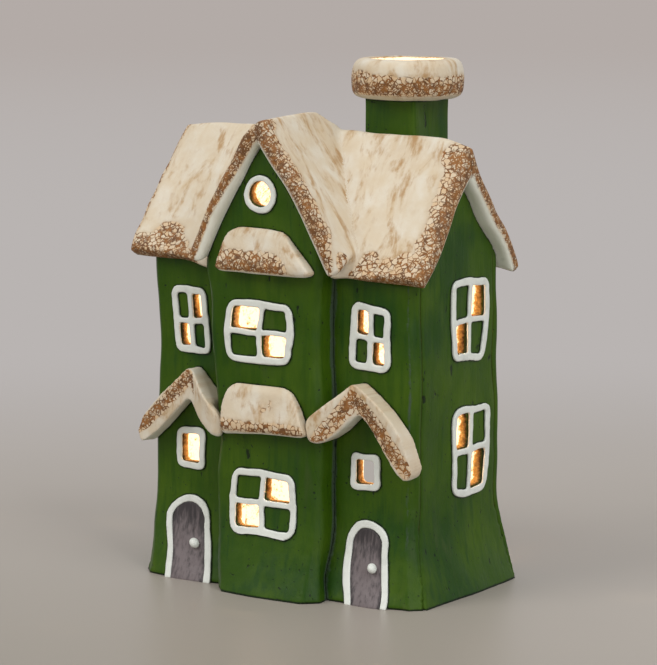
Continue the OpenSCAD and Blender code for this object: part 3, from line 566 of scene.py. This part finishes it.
def snowGlaze():
    finish = Finish("snowGlaze")
    look = snowLook
    strokes = finish.mark("strokes", "Vector")
    broad = finish.clouds(look["broadStrokes"], strokes)
    hairs = finish.clouds(look["hairStrokes"], strokes)
    mottle = finish.clouds(look["mottle"])
    patches = finish.clouds(look["patches"])
    color = finish.coat(look["white"], patches * 0.6 + mottle * 0.4, look["cream"])
    color = finish.coat(look["warm"], patches * 0.4 + broad * 0.6, color)
    color = finish.coat(look["painted"], broad * 0.5 + hairs * 0.26 + mottle * 0.24, color)
    color, ground = addCrackle(finish, color)
    plain = finish.mark("plain")
    color = finish.blend(plain, color, look["soffit"])
    height = (1 - ground * (1 - plain)) * 0.8 + mottle * 0.8 + hairs * 0.25
    return finish.finished(
        Roughness=finish.gloss(patches, look["rough"]), Normal=finish.bump(height, look["bump"]),
        Specular_IOR_Level=look["specular"], **addGlow(finish, color))


slipLook = {
    "white": tone(227, 230, 223), "shade": (tone(202, 205, 198), 0.45, 0.8, 0.7),
    "dirt": (tone(96, 104, 86), 0.6, 1.1, 0.4), "patches": (150, 3, 0.55), "grit": (500, 2, 0.5),
    "grain": (380, 3, 0.5), "lumps": (110, 2, 0.5), "rough": (0.4, 0.54), "bump": (0.0004, 0.4),
}


def whiteSlip():
    finish = Finish("whiteSlip")
    look = slipLook
    patches = finish.clouds(look["patches"])
    color = finish.coat(look["shade"], patches, look["white"])
    # darker grey-green in the creases
    dirt = finish.mark("valley") + (finish.clouds(look["grit"]) - 0.5) * 0.6
    height = finish.clouds(look["grain"]) * 0.5 + finish.clouds(look["lumps"]) * 0.8
    return finish.finished(
        Base_Color=finish.coat(look["dirt"], dirt, color), Roughness=finish.gloss(patches, look["rough"]),
        Normal=finish.bump(height, look["bump"]))


plumLook = {
    "wash": tone(114, 103, 104), "dark": (tone(52, 46, 48), 0.42, 0.86, 1), "shadeAmount": 0.35,
    "streaks": ((620, 620, 50), 4, 0.6), "rough": (0.42, 0.57), "bump": (0.0004, 0.5),
}


def plumGlaze():
    finish = Finish("plumGlaze")
    look = plumLook
    streaks = finish.clouds(look["streaks"])
    shaded = streaks + finish.mark("shade") * look["shadeAmount"]
    return finish.finished(
        Base_Color=finish.coat(look["dark"], shaded, look["wash"]),
        Roughness=finish.gloss(streaks, look["rough"]), Normal=finish.bump(streaks, look["bump"]))


waxLook = {
    "color": tone(240, 234, 220), "shade": (tone(228, 220, 202), 0.3, 0.7, 1), "noise": (200, 3, 0.5),
    "rough": (0.45, 0.6), "grain": (900, 2, 0.5), "bump": (0.0002, 0.4),
}
flameLook = {
    "color": tone(255, 190, 90), "shade": (tone(255, 214, 140), 0.3, 0.7, 1), "noise": (160, 2, 0.5),
    "rough": (0.22, 0.36), "strength": 6.0,
}
metalLook = {
    "color": tone(190, 188, 182), "shade": (tone(150, 148, 144), 0.3, 0.7, 1), "metallic": 1,
    "noise": ((300, 2500, 2500), 3, 0.6), "rough": (0.25, 0.42), "bump": (0.0001, 0.4),
}


# The small light's finishes: one noise turns their colour and gloss
def lightFinish(name, look):
    finish = Finish(name)
    noise = finish.clouds(look["noise"])
    color = finish.coat(look["shade"], noise, look["color"])
    sockets = {"Base_Color": color, "Roughness": finish.gloss(noise, look["rough"])}
    if "bump" in look:
        sockets["Normal"] = finish.bump(finish.clouds(look.get("grain", look["noise"])), look["bump"])
    if "strength" in look:
        sockets.update(Emission_Color=color, Emission_Strength=look["strength"])
    return finish.finished(Metallic=look.get("metallic", 0), **sockets)


moss = mossGlaze()
snow = snowGlaze()
slip = whiteSlip()
plum = plumGlaze()
wax = lightFinish("waxPlastic", waxLook)
flameGlow = lightFinish("flamePlastic", flameLook)
metal = lightFinish("contactMetal", metalLook)
print("finishes made")

# Walls
# The ruled house that the solids follow, in millimetres and degrees
house = {
    "halfWidth": 83, "halfDepth": 43, "bayFace": 57, "bayHalf": 34.5, "flare": 9, "frontFlare": 1.35,
    "flareHeight": 56, "cornerCut": 5, "cornerFollow": 0.8, "ridge": 242, "pitch": 53, "slopeEnd": 86.2,
    "roofHalf": 91, "gable": 255, "gablePitch": 56.5, "gableHalf": 46.5, "gableFront": 63,
    "stackX": 36, "stackY": 24.5,
}


# The foot's arc: how far it stands out at each height
def flareAt(z):
    radius = (house["flareHeight"] ** 2 + house["flare"] ** 2) / (2 * house["flare"])
    rise = np.clip(house["flareHeight"] - z, 0, None)
    return radius - np.sqrt(radius ** 2 - rise ** 2)


wallKinds = {
    "leftWingWall": "front", "rightWingWall": "front", "bayWall": "bay", "backWall": "back",
    "leftSideWall": "side", "rightSideWall": "side",
}
wallClay = {
    "wall": (1.15, 4, 14), "stack": (1.0, 3, 14), "floor": (1.4, 4, 14), "seam": 3.4, "cornerIn": 3.4,
    "cornerSeam": 0.66,
}
# Where bare clay starts behind the outer face, and how the painted glow grows with depth and height
wallGlow = {
    "bare": (0.6, 1.1), "bareFoot": (1.5, 3), "foot": (2.5, 5), "cut": (0.6, 3), "cutGlow": 0.45,
    "room": (3.5, 6.9), "roomGlow": 0.55, "joint": (72, 37), "jointDepth": 3.5, "flueHalf": (9.5, 12),
    "flueFade": 1.5, "flueGlow": 1.2, "floor": (4, 6.5), "floorGlow": 0.7,
}


# Rough grey seams where the bay's slabs meet the wings, and a fainter one beside the right front corner
def seamMark(points):
    x, y, z = points.T
    out = flareAt(z)
    front = y + house["halfDepth"] + house["frontFlare"] * out
    valley = 1 - np.hypot(np.abs(x) - house["bayHalf"], front) / wallClay["seam"]
    beside = x - house["halfWidth"] - out + wallClay["cornerIn"]
    return np.maximum(valley, wallClay["cornerSeam"] - np.hypot(beside, front) / wallClay["seam"])


# How far in a point lies from two faces that meet and from the flat cut along their corner
def fromCorner(side, face, out, spread):
    follow = house["cornerFollow"] * spread / math.sqrt(2) * out
    return (side + face) / math.sqrt(2) - house["cornerCut"] / 2 + follow


# How far in from the outer face of the walls a point lies
def wallDepth(points, kind):
    x, y, z = points.T
    out = flareAt(z)
    sides = house["halfWidth"] + out - np.abs(x)
    if kind == "side":
        return sides
    across = (np.abs(x) + np.abs(y)) / math.sqrt(2)
    if kind == "bay":
        cut = fromCorner(house["bayHalf"], house["bayFace"], out, house["frontFlare"])
        flat = y + house["bayFace"] + house["frontFlare"] * out
        return np.minimum(flat, np.minimum(house["bayHalf"] - np.abs(x), cut - across))
    stretch, way = (house["frontFlare"], 1) if kind == "front" else (1, -1)
    cut = fromCorner(house["halfWidth"], house["halfDepth"], out, 1 + stretch)
    flat = house["halfDepth"] + stretch * out + way * y
    return np.minimum(flat, np.minimum(sides, cut - across))


def makeWall(name, kind):
    look = wallGlow
    wall = clay(name, wallClay["wall"])
    points = pointsOf(wall)
    x, y, z = points.T
    depth = wallDepth(points, kind)
    # the painted glow: some on the cut of each opening, more on the inner face
    lit = between(depth, *look["cut"]) * look["cutGlow"]
    lit += between(depth, *look["room"]) * look["roomGlow"]
    jointX, jointY = look["joint"]
    joint = (np.abs(x) > jointX) & (np.abs(y) > jointY) & (depth < look["jointDepth"])
    bare = between(depth, *look["bare"]) * between(z, *look["bareFoot"])
    setMark(wall, "inside", bare * ~joint)
    setMark(wall, "glow", lit * between(z, *look["foot"]))
    setMark(wall, "seam", seamMark(points))
    return wall


def makeStack():
    stack = clay("chimneyStack", wallClay["stack"])
    x, y, z = pointsOf(stack).T
    halfX, halfY = wallGlow["flueHalf"]
    middle = np.maximum(np.abs(x - house["stackX"]) - halfX, np.abs(y - house["stackY"]) - halfY)
    # the flue is bare clay with a painted glow
    setMark(stack, "inside", (wallGlow["flueFade"] - middle) / wallGlow["flueFade"])
    setMark(stack, "glow", (wallGlow["flueGlow"] - middle) / wallGlow["flueFade"])
    return stack


def makeFloor():
    floor = clay("floorSlab", wallClay["floor"])
    points = pointsOf(floor)
    # the floor slab is bare clay, with a painted glow over its top
    setMark(floor, "inside", np.ones(len(points)))
    setMark(floor, "glow", wallGlow["floorGlow"] * between(points[:, 2], *wallGlow["floor"]))
    return floor


walls = [makeWall(name, kind) for name, kind in wallKinds.items()] + [makeStack(), makeFloor()]
print("walls made")

# Snow
# How far the crackle reaches in from each edge of the roof, left and right where they differ, and how
# strong it is; its patches, as where, how far and how strong; and a ring: where, how far, edges, strength
roofRim = {
    "eave": (7, 6), "eaveStrength": 1.1, "rake": (5, 15), "rakeStrength": (0.68, 1), "gable": (5, 11),
    "gableOver": 3, "gableFoot": (17, 6), "gableFootLoss": 0.95,
    "rearFrom": 6, "rearFade": (8, 5.5), "patchEdge": (1.6, 1.2), "strokes": 1.7,
    "patches": [
        ((-72, -45, 182), 9, 0.8), ((-62, -48, 178), 5, 0.75), ((-84, -49, 177), 6, 0.85),
        ((-54, -50, 174), 5, 0.85), ((55.5, -46, 181), 6.5, 0.7), ((50.6, -49, 174), 6, 0.7),
        ((66, -46, 179), 6, 0.5), ((78.2, -46, 181), 9, 0.7), ((86, -6, 234), 9, 0.85),
        ((0, -60, 252), 9, 0.85), ((84, -36, 192), 7, 0.5),
    ],
    "ring": ((44.5, -57, 186), 3.4, 2.34, 0.72, 0.9),
}
# The clean lips under the crackle, as their depth below the top, the plain undersides, and the painted
# glow on the undersides inside the house
roofLip = {
    "right": (8.8, 8.1), "rightUpTo": 4, "left": (7.4, 4.6), "leftAlong": (4, 30), "leftFade": 0.8,
    "leftFace": 4, "clean": (0.4, 1.2), "cleanAmount": 0.8,
    "room": (76.5, 36.5), "bayRoom": (28, 50.5), "down": (0.12, 0.35), "inward": (0.15, 0.4),
    "under": 4.5, "soffit": (5, 3), "glow": 0.9,
}
snowClay = (1.15, 3, 14)


# Where each point lies on the two ruled roofs: depth under the top, and the distances to the edges
def roofPlaces(points):
    x, y, z = points.T
    lean = math.radians(house["pitch"])
    gableLean = math.radians(house["gablePitch"])
    mainTop = house["ridge"] - np.abs(y) * math.tan(lean)
    gableTop = house["gable"] - np.abs(x) * math.tan(gableLean)
    gableTop = np.where(np.abs(x) < house["gableHalf"] + roofRim["gableOver"], gableTop, 0)
    onGable = (gableTop > mainTop) & (y < 0)
    deep = np.where(onGable, (gableTop - z) * math.cos(gableLean), (mainTop - z) * math.cos(lean))
    eave = house["slopeEnd"] - np.abs(y) * math.cos(lean) - (house["ridge"] - z) * math.sin(lean)
    foot = (house["gableHalf"] - np.abs(x)) / math.cos(gableLean)
    return onGable, deep, eave, house["roofHalf"] - np.abs(x), y + house["gableFront"], foot


# The crackle's strength on each roof, from the distances to its edges
def rimOfRoof(points, onGable, deep, eave, rake, face, foot):
    look = roofRim
    x, y, z = points.T
    eaveReach, rakeReach, rakeStrength, gableReach = (
        np.where(x > 0, *reversed(look[name])) for name in ("eave", "rake", "rakeStrength", "gable"))
    rearFade = np.where(y > look["rearFrom"], between(deep, *look["rearFade"]), 1)
    main = (1 - rake / rakeReach) * rakeStrength * rearFade
    main = np.maximum(look["eaveStrength"] - eave / eaveReach, main)
    footLoss = look["gableFootLoss"] * between(foot, *look["gableFoot"]) * (x > 0)
    rim = np.where(onGable, (1 - face / gableReach) * (1 - footLoss), main)
    start, slope = look["patchEdge"]
    for place, reach, strength in look["patches"]:
        near = np.linalg.norm(points - place, axis=1) / reach
        rim = np.maximum(rim, strength * np.clip(start - near * slope, 0, 1))
    place, reach, outer, inner, strength = look["ring"]
    off = np.abs(np.linalg.norm(points - place, axis=1) - reach)
    return np.maximum(rim, strength * between(off, outer, inner))


def roofMarks(piece):
    points = pointsOf(piece)
    x, y, z = points.T
    normals = vectorsOf(piece, "normal")
    onGable, deep, eave, rake, face, foot = roofPlaces(points)
    rim = rimOfRoof(points, onGable, deep, eave, rake, face, foot)
    look = roofLip
    rim = rim * np.where((x > 0) & (y < look["rightUpTo"]), between(deep, *look["right"]), 1)
    top, bottom = look["left"]
    leftLip = top - (top - bottom) * between(-x, *look["leftAlong"])
    lipped = onGable & (x < 0) & (face < look["leftFace"])
    rim = rim * np.where(lipped, between(deep, leftLip + look["leftFade"], leftLip), 1)
    setMark(piece, "rim", rim)
    down = np.where(onGable, np.abs(x), np.abs(y)) * roofRim["strokes"]
    setStrokes(piece, np.where(onGable, y, x), down)

    # the undersides: their normals point down and in towards the ridge
    roomX, roomY = look["room"]
    bayX, bayY = look["bayRoom"]
    room = (np.abs(x) < roomX) & (y < roomY) & ((y > -roomY) | ((np.abs(x) < bayX) & (y > -bayY)))
    inward = np.where(onGable, -normals[:, 0] * np.sign(x), -normals[:, 1] * np.sign(y))
    below = between(-normals[:, 2], *look["down"]) * between(inward, *look["inward"])
    below = below * (deep > look["under"])
    onSoffit = 1 - onGable * (x < 0) * between(face, *look["soffit"])
    clean = between(deep - leftLip, *look["clean"]) * lipped * look["cleanAmount"]
    setMark(piece, "plain", np.maximum(below * ~room * onSoffit, clean))
    # the undersides inside the house are bare clay with a painted glow
    setMark(piece, "inside", below * room)
    setMark(piece, "glow", below * room * look["glow"])


def makeRoof():
    nodes = ["rear_roof_slab", "left_roof_slab", "right_roof_slab", "left_bay_roof", "right_bay_roof"]
    piece = clay("snowRoof", snowClay, nodes)
    roofMarks(piece)
    return settle(piece, snow, nodes)


# The marks of a small snow piece; what lies inside is bare clay with a painted glow
def snowMarks(piece, rim, across, down, plain, inside=0):
    inside = inside + rim * 0
    for name, values in (("rim", rim), ("plain", plain), ("inside", inside), ("glow", inside)):
        setMark(piece, name, values)
    setStrokes(piece, across, down)


# A ledge's foot and top, its crackle's right end, how strong it is, and how strong its smear
ledgeLook = {
    "clay": (0.9, 5, 14), "lower": (86, 94, 30, 0.9, 0.27), "upper": (171.7, 187, 22, 1, 0),
    "strokes": 1.4, "rim": 1.25, "rimRise": (0.5, 1), "fade": (0, 10), "lip": (0.6, 1.8),
    "leftEnd": (20, 27), "leftFade": (-3, 2), "leftAmount": 0.5, "smearPlace": (3, 12), "smearLean": 0.7,
    "smearSize": (8, 9), "clean": (-1.1, -0.4), "cleanAmount": 0.8,
}


# Crackle along the foot, above a clean lip, fading towards the right end, and a smear
def makeLedge(name, span):
    look = ledgeLook
    low, high, right, strength, smeared = span
    piece = clay(name, look["clay"])
    x, y, z = pointsOf(piece).T
    riseLow, riseHigh = look["rimRise"]
    rim = look["rim"] * (1 - between(z, low + riseLow, high + riseHigh))
    rim = rim * between(right - x, *look["fade"]) * between(z - low, *look["lip"])
    leftPatch = between(-x, *look["leftEnd"]) * between(high - z, *look["leftFade"])
    rim = np.maximum(rim, look["leftAmount"] * leftPatch)
    smearX, smearZ = look["smearPlace"]
    wide, tall = look["smearSize"]
    rise = z - low - smearZ
    smear = np.exp(-((x - smearX - rise * look["smearLean"]) / wide) ** 2 - (rise / tall) ** 2)
    rim = np.maximum(rim, smeared * smear)
    plain = between(low - z, *look["clean"]) * look["cleanAmount"]
    snowMarks(piece, rim * strength, x, z * look["strokes"], plain)
    return settle(piece, snow)


# A canopy's ruled ridge, and its band of crackle: the strength at its middle, the depth below the top on
# the inner and the outer half, and how far it fades
canopyLook = {
    "clay": (0.9, 5, 14), "peak": 55, "top": 116, "outSlope": 0.92, "inSlope": 1.15, "strokes": 1.4,
    "front": (0.3, 0.75), "foot": (69, 72), "under": (0.3, 0.6), "underAmount": 0.6,
    "rightBand": (1.3, 7.5, 10.5, 6.5), "rightStrength": (0.85, 0.95),
    "leftBand": (1.35, 4.5, 4.5, 5.5), "leftStrength": (0.05, 0.95), "leftFrom": -5,
}


# The crackle runs along the front face, below a clean rounded top and above a clean foot
def makeCanopy(name, side):
    look = canopyLook
    piece = clay(name, look["clay"])
    x, y, z = pointsOf(piece).T
    normals = vectorsOf(piece, "normal")
    out = side * x - look["peak"]
    down = look["top"] - np.where(out > 0, out * look["outSlope"], -out * look["inSlope"]) - z
    key = "right" if side > 0 else "left"
    height, inDepth, outDepth, width = look[key + "Band"]
    inStrength, outStrength = look[key + "Strength"]
    band = height - np.abs(down - np.where(out > 0, outDepth, inDepth)) / width
    strength = np.where(out > (0 if side > 0 else look["leftFrom"]), outStrength, inStrength)
    front = between(-normals[:, 1], *look["front"])
    rim = np.clip(band, 0, 1) * front * strength * between(z, *look["foot"])
    plain = between(-normals[:, 2], *look["under"]) * look["underAmount"]
    snowMarks(piece, rim, x, z * look["strokes"], plain)
    return settle(piece, snow)


# The cap's crackle lies round its lower half, as shares of its height, and climbs on the left
capLook = {
    "clay": (0.9, 3, 14), "leftAngle": 213, "left": (0.6, 1), "rimTop": 0.72, "leftRise": 0.2,
    "rimFull": 0.36, "rimFoot": (0.1, 0.18), "mouth": (21.2, 19.2), "mouthFoot": (0.06, 0.16),
    "around": 24, "down": 1.3, "plain": (0.1, 0.04), "plainAmount": 0.5,
}


def makeCap():
    look = capLook
    piece = clay("chimneyCap", look["clay"])
    x, y, z = pointsOf(piece).T
    low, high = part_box("chimney_cap")
    share = (z - low.z * 1000) / ((high.z - low.z) * 1000)
    around = np.hypot(x - house["stackX"], y - house["stackY"])
    angle = np.arctan2(y - house["stackY"], x - house["stackX"])
    left = between(np.cos(angle - math.radians(look["leftAngle"])), *look["left"])
    rim = between(share, look["rimTop"] + look["leftRise"] * left, look["rimFull"])
    rim = rim * between(share, *look["rimFoot"])
    # the flue's mouth: bare clay with a painted glow
    mouth = between(around, *look["mouth"]) * between(share, *look["mouthFoot"])
    plain = between(share, *look["plain"]) * look["plainAmount"]
    snowMarks(piece, rim * (1 - mouth), angle * look["around"], z * look["down"], plain, mouth)
    return settle(piece, snow)


snowPieces = [
    makeRoof(), makeCap(),
    makeLedge("upperLedge", ledgeLook["upper"]), makeLedge("lowerLedge", ledgeLook["lower"]),
    makeCanopy("leftCanopy", -1), makeCanopy("rightCanopy", 1),
]
print("snow made")

# Frames, doors and knobs
framePlaces = [
    "leftUpper", "rightUpper", "bayUpper", "bayLower", "leftPorch", "rightPorch", "round",
    "rightSideUpper", "rightSideLower", "leftSideUpper", "leftSideLower", "leftDoor", "rightDoor",
]
frameLook = {
    "clay": (0.45, 2, 4), "seed": 23, "wobble": 0.35, "length": 22, "ripple": 0.09, "rippleLength": 5,
}
doorLook = {
    "clay": (0.5, 2, 0), "edge": (6.5, 10), "edgeShade": 0.6, "top": (22, 40), "knob": (0.3, 4, 3),
}


# The slip's bars wander along their wall and never in or out of it
def makeFrames():
    made = []
    look = frameLook
    unruly = waveField(look["seed"], look["wobble"], look["length"])
    ripples = waveField(look["seed"] + 1, look["ripple"], look["rippleLength"])
    for place in framePlaces:
        piece = clay(place + "Frame", look["clay"])
        points = pointsOf(piece)
        along = [0, 1, 1] if "Side" in place else [1, 0, 1]
        setPoints(piece, points + (wavesAt(points, unruly) + wavesAt(points, ripples)) * along)
        made.append(settle(piece, slip))
    return made


def makeDoor(side):
    look = doorLook
    leaf = clay(side + "DoorLeaf", look["clay"])
    low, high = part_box(side + "_door_leaf")
    x, y, z = pointsOf(leaf).T
    edge = between(np.abs(x - (low.x + high.x) * 1000 / 2), *look["edge"])
    # painted shade on the leaf: darker towards its top and towards its sides
    setMark(leaf, "shade", between(z, *look["top"]) + look["edgeShade"] * edge)
    knob = clay(side + "DoorKnob", look["knob"])
    return [settle(leaf, plum), settle(knob, slip)]


trims = makeFrames() + makeDoor("left") + makeDoor("right")
print("frames made")


# The glaze of the walls, the pull of the hand on every piece, and then the painted shade at the contacts
def shapeHouse():
    for wall in walls:
        settle(wall, moss)
    roof, *ledges = snowPieces
    for part, pieces in (("walls", walls), ("trims", trims), ("roof", [roof]), ("ledges", ledges)):
        for piece in pieces:
            setPoints(piece, madeByHand(pointsOf(piece), part))
    contacts = treeOf(trims + snowPieces)
    for wall in walls:
        markContactShade(wall, contacts)


shapeHouse()
print("house shaped by hand")

# Light
lightFinishes = (
    (wax, ["light_case", "light_base", "battery_cover"]), (flameGlow, ["flame", "lamp"]),
    (metal, ["coin_cell", "top_contact", "side_contact", "switch_slider"]),
)
for material, nodes in lightFinishes:
    for node in nodes:
        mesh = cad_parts[node].data
        mesh.materials.clear()
        mesh.materials.append(material)
print("light finished")

# Stage
# Tones, the darker front being painted shade on the table, and where the front goes over into the floor
# and the floor into the backdrop, in metres
stageLook = {
    "floor": tone(173, 164, 155), "front": tone(134, 126, 112), "stain": tone(160, 152, 143),
    "haze": tone(185, 180, 178), "sky": tone(179, 171, 167), "fill": 0.6, "rough": 0.42, "halfSize": 9,
    "shadedFrontEdges": (-0.45, 0.1), "stains": (9, 3, 0.5), "stainAmount": 0.3, "away": (-0.54, 0.84, 0),
    "backEdges": (0.14, 0.8), "skyEdges": (1.5, 7),
}


# A pale table top with painted shade towards the front, that goes over into the backdrop's tone behind
# the house
def floorPaint():
    finish = Finish("floorPaint")
    y = finish.node("ShaderNodeSeparateXYZ", None, {0: finish.place}, out="Y")
    look = stageLook
    color = finish.blend(finish.spread(y, look["shadedFrontEdges"]), look["front"], look["floor"])
    color = finish.blend(finish.clouds(look["stains"]) * look["stainAmount"], color, look["stain"])
    paint = finish.shader(Base_Color=color, Roughness=look["rough"])
    far = finish.node("ShaderNodeVectorMath", {"operation": "DOT_PRODUCT"}, {
        0: finish.place, 1: look["away"]}, out="Value")
    backdrop = finish.blend(finish.spread(far, look["skyEdges"]), look["haze"], look["sky"])
    haze = finish.node("ShaderNodeEmission", None, {"Color": backdrop, "Strength": 1.0})
    seen = finish.node("ShaderNodeLightPath", out="Is Camera Ray")
    mix = finish.node("ShaderNodeMixShader", None, {
        0: finish.spread(far, look["backEdges"]) * seen, 1: paint, 2: haze})
    return finish.finished(mix)


def addFloor():
    shape = bmesh.new()
    bmesh.ops.create_grid(shape, x_segments=1, y_segments=1, size=stageLook["halfSize"])
    mesh = bpy.data.meshes.new("floor")
    shape.to_mesh(mesh)
    shape.free()
    floor = linkPiece("floor", mesh)
    mesh.materials.append(floorPaint())


# The camera sees the sky's tone, and everything else is lit by an even white
def addSky():
    world = bpy.data.worlds.new("soft sky")
    world.use_nodes = True
    scene.world = world
    tree = world.node_tree
    tree.nodes.clear()
    out = tree.nodes.new("ShaderNodeOutputWorld")
    mix = tree.nodes.new("ShaderNodeMixShader")
    path = tree.nodes.new("ShaderNodeLightPath")
    for slot, strength, color in ((1, stageLook["fill"], (1, 1, 1)), (2, 1.0, stageLook["sky"])):
        back = tree.nodes.new("ShaderNodeBackground")
        back.inputs["Color"].default_value = (*color, 1)
        back.inputs["Strength"].default_value = strength
        tree.links.new(back.outputs[0], mix.inputs[slot])
    tree.links.new(path.outputs["Is Camera Ray"], mix.inputs[0])
    tree.links.new(mix.outputs[0], out.inputs["Surface"])


# Lamps outside, in metres and watts, and small warm ones in the house, in millimetres and watts
lamps = {
    "key": {"place": (-0.9, -1.5, 1.7), "size": 1.2, "power": 20, "color": (1, 0.98, 0.95)},
    "side": {"place": (1.35, -0.5, 1.5), "size": 1.0, "power": 12.5, "color": (0.96, 0.98, 1)},
    "strip": {"place": (1.34, -0.87, 0.35), "size": 0.2, "tall": 1.2, "power": 3, "color": (1, 1, 1)},
}
insideLamps = {
    "flameLight": {"place": (18, 0, 34), "power": 0.2, "size": 5},
    "roomLight": {"place": (0, -4, 118), "power": 0.17, "size": 7},
    "flueLight": {"place": (36, 24, 215), "power": 0.2, "size": 4},
}
lampAim = Vector((0, 0, 0.13))
flameColor = (1.0, 0.8, 0.5)


def addLamp(name, kind, look, place, color):
    light = bpy.data.lights.new(name, kind)
    light.energy = look["power"]
    light.color = color
    lamp = bpy.data.objects.new(name, light)
    lamp.location = place
    scene.collection.objects.link(lamp)
    return lamp


def addLamps():
    for name, look in lamps.items():
        place = Vector(look["place"])
        lamp = addLamp(name, "AREA", look, place, look["color"])
        lamp.data.size = look["size"]
        if "tall" in look:
            lamp.data.shape = "RECTANGLE"
            lamp.data.size_y = look["tall"]
        lamp.rotation_mode = "QUATERNION"
        lamp.rotation_quaternion = (lampAim - place).to_track_quat("-Z", "Y")
    for name, look in insideLamps.items():
        lamp = addLamp(name, "POINT", look, Vector(look["place"]) / 1000, flameColor)
        lamp.data.shadow_soft_size = look["size"] / 1000


addFloor()
addSky()
addLamps()
scene.view_settings.view_transform = "Standard"
print("stage set")
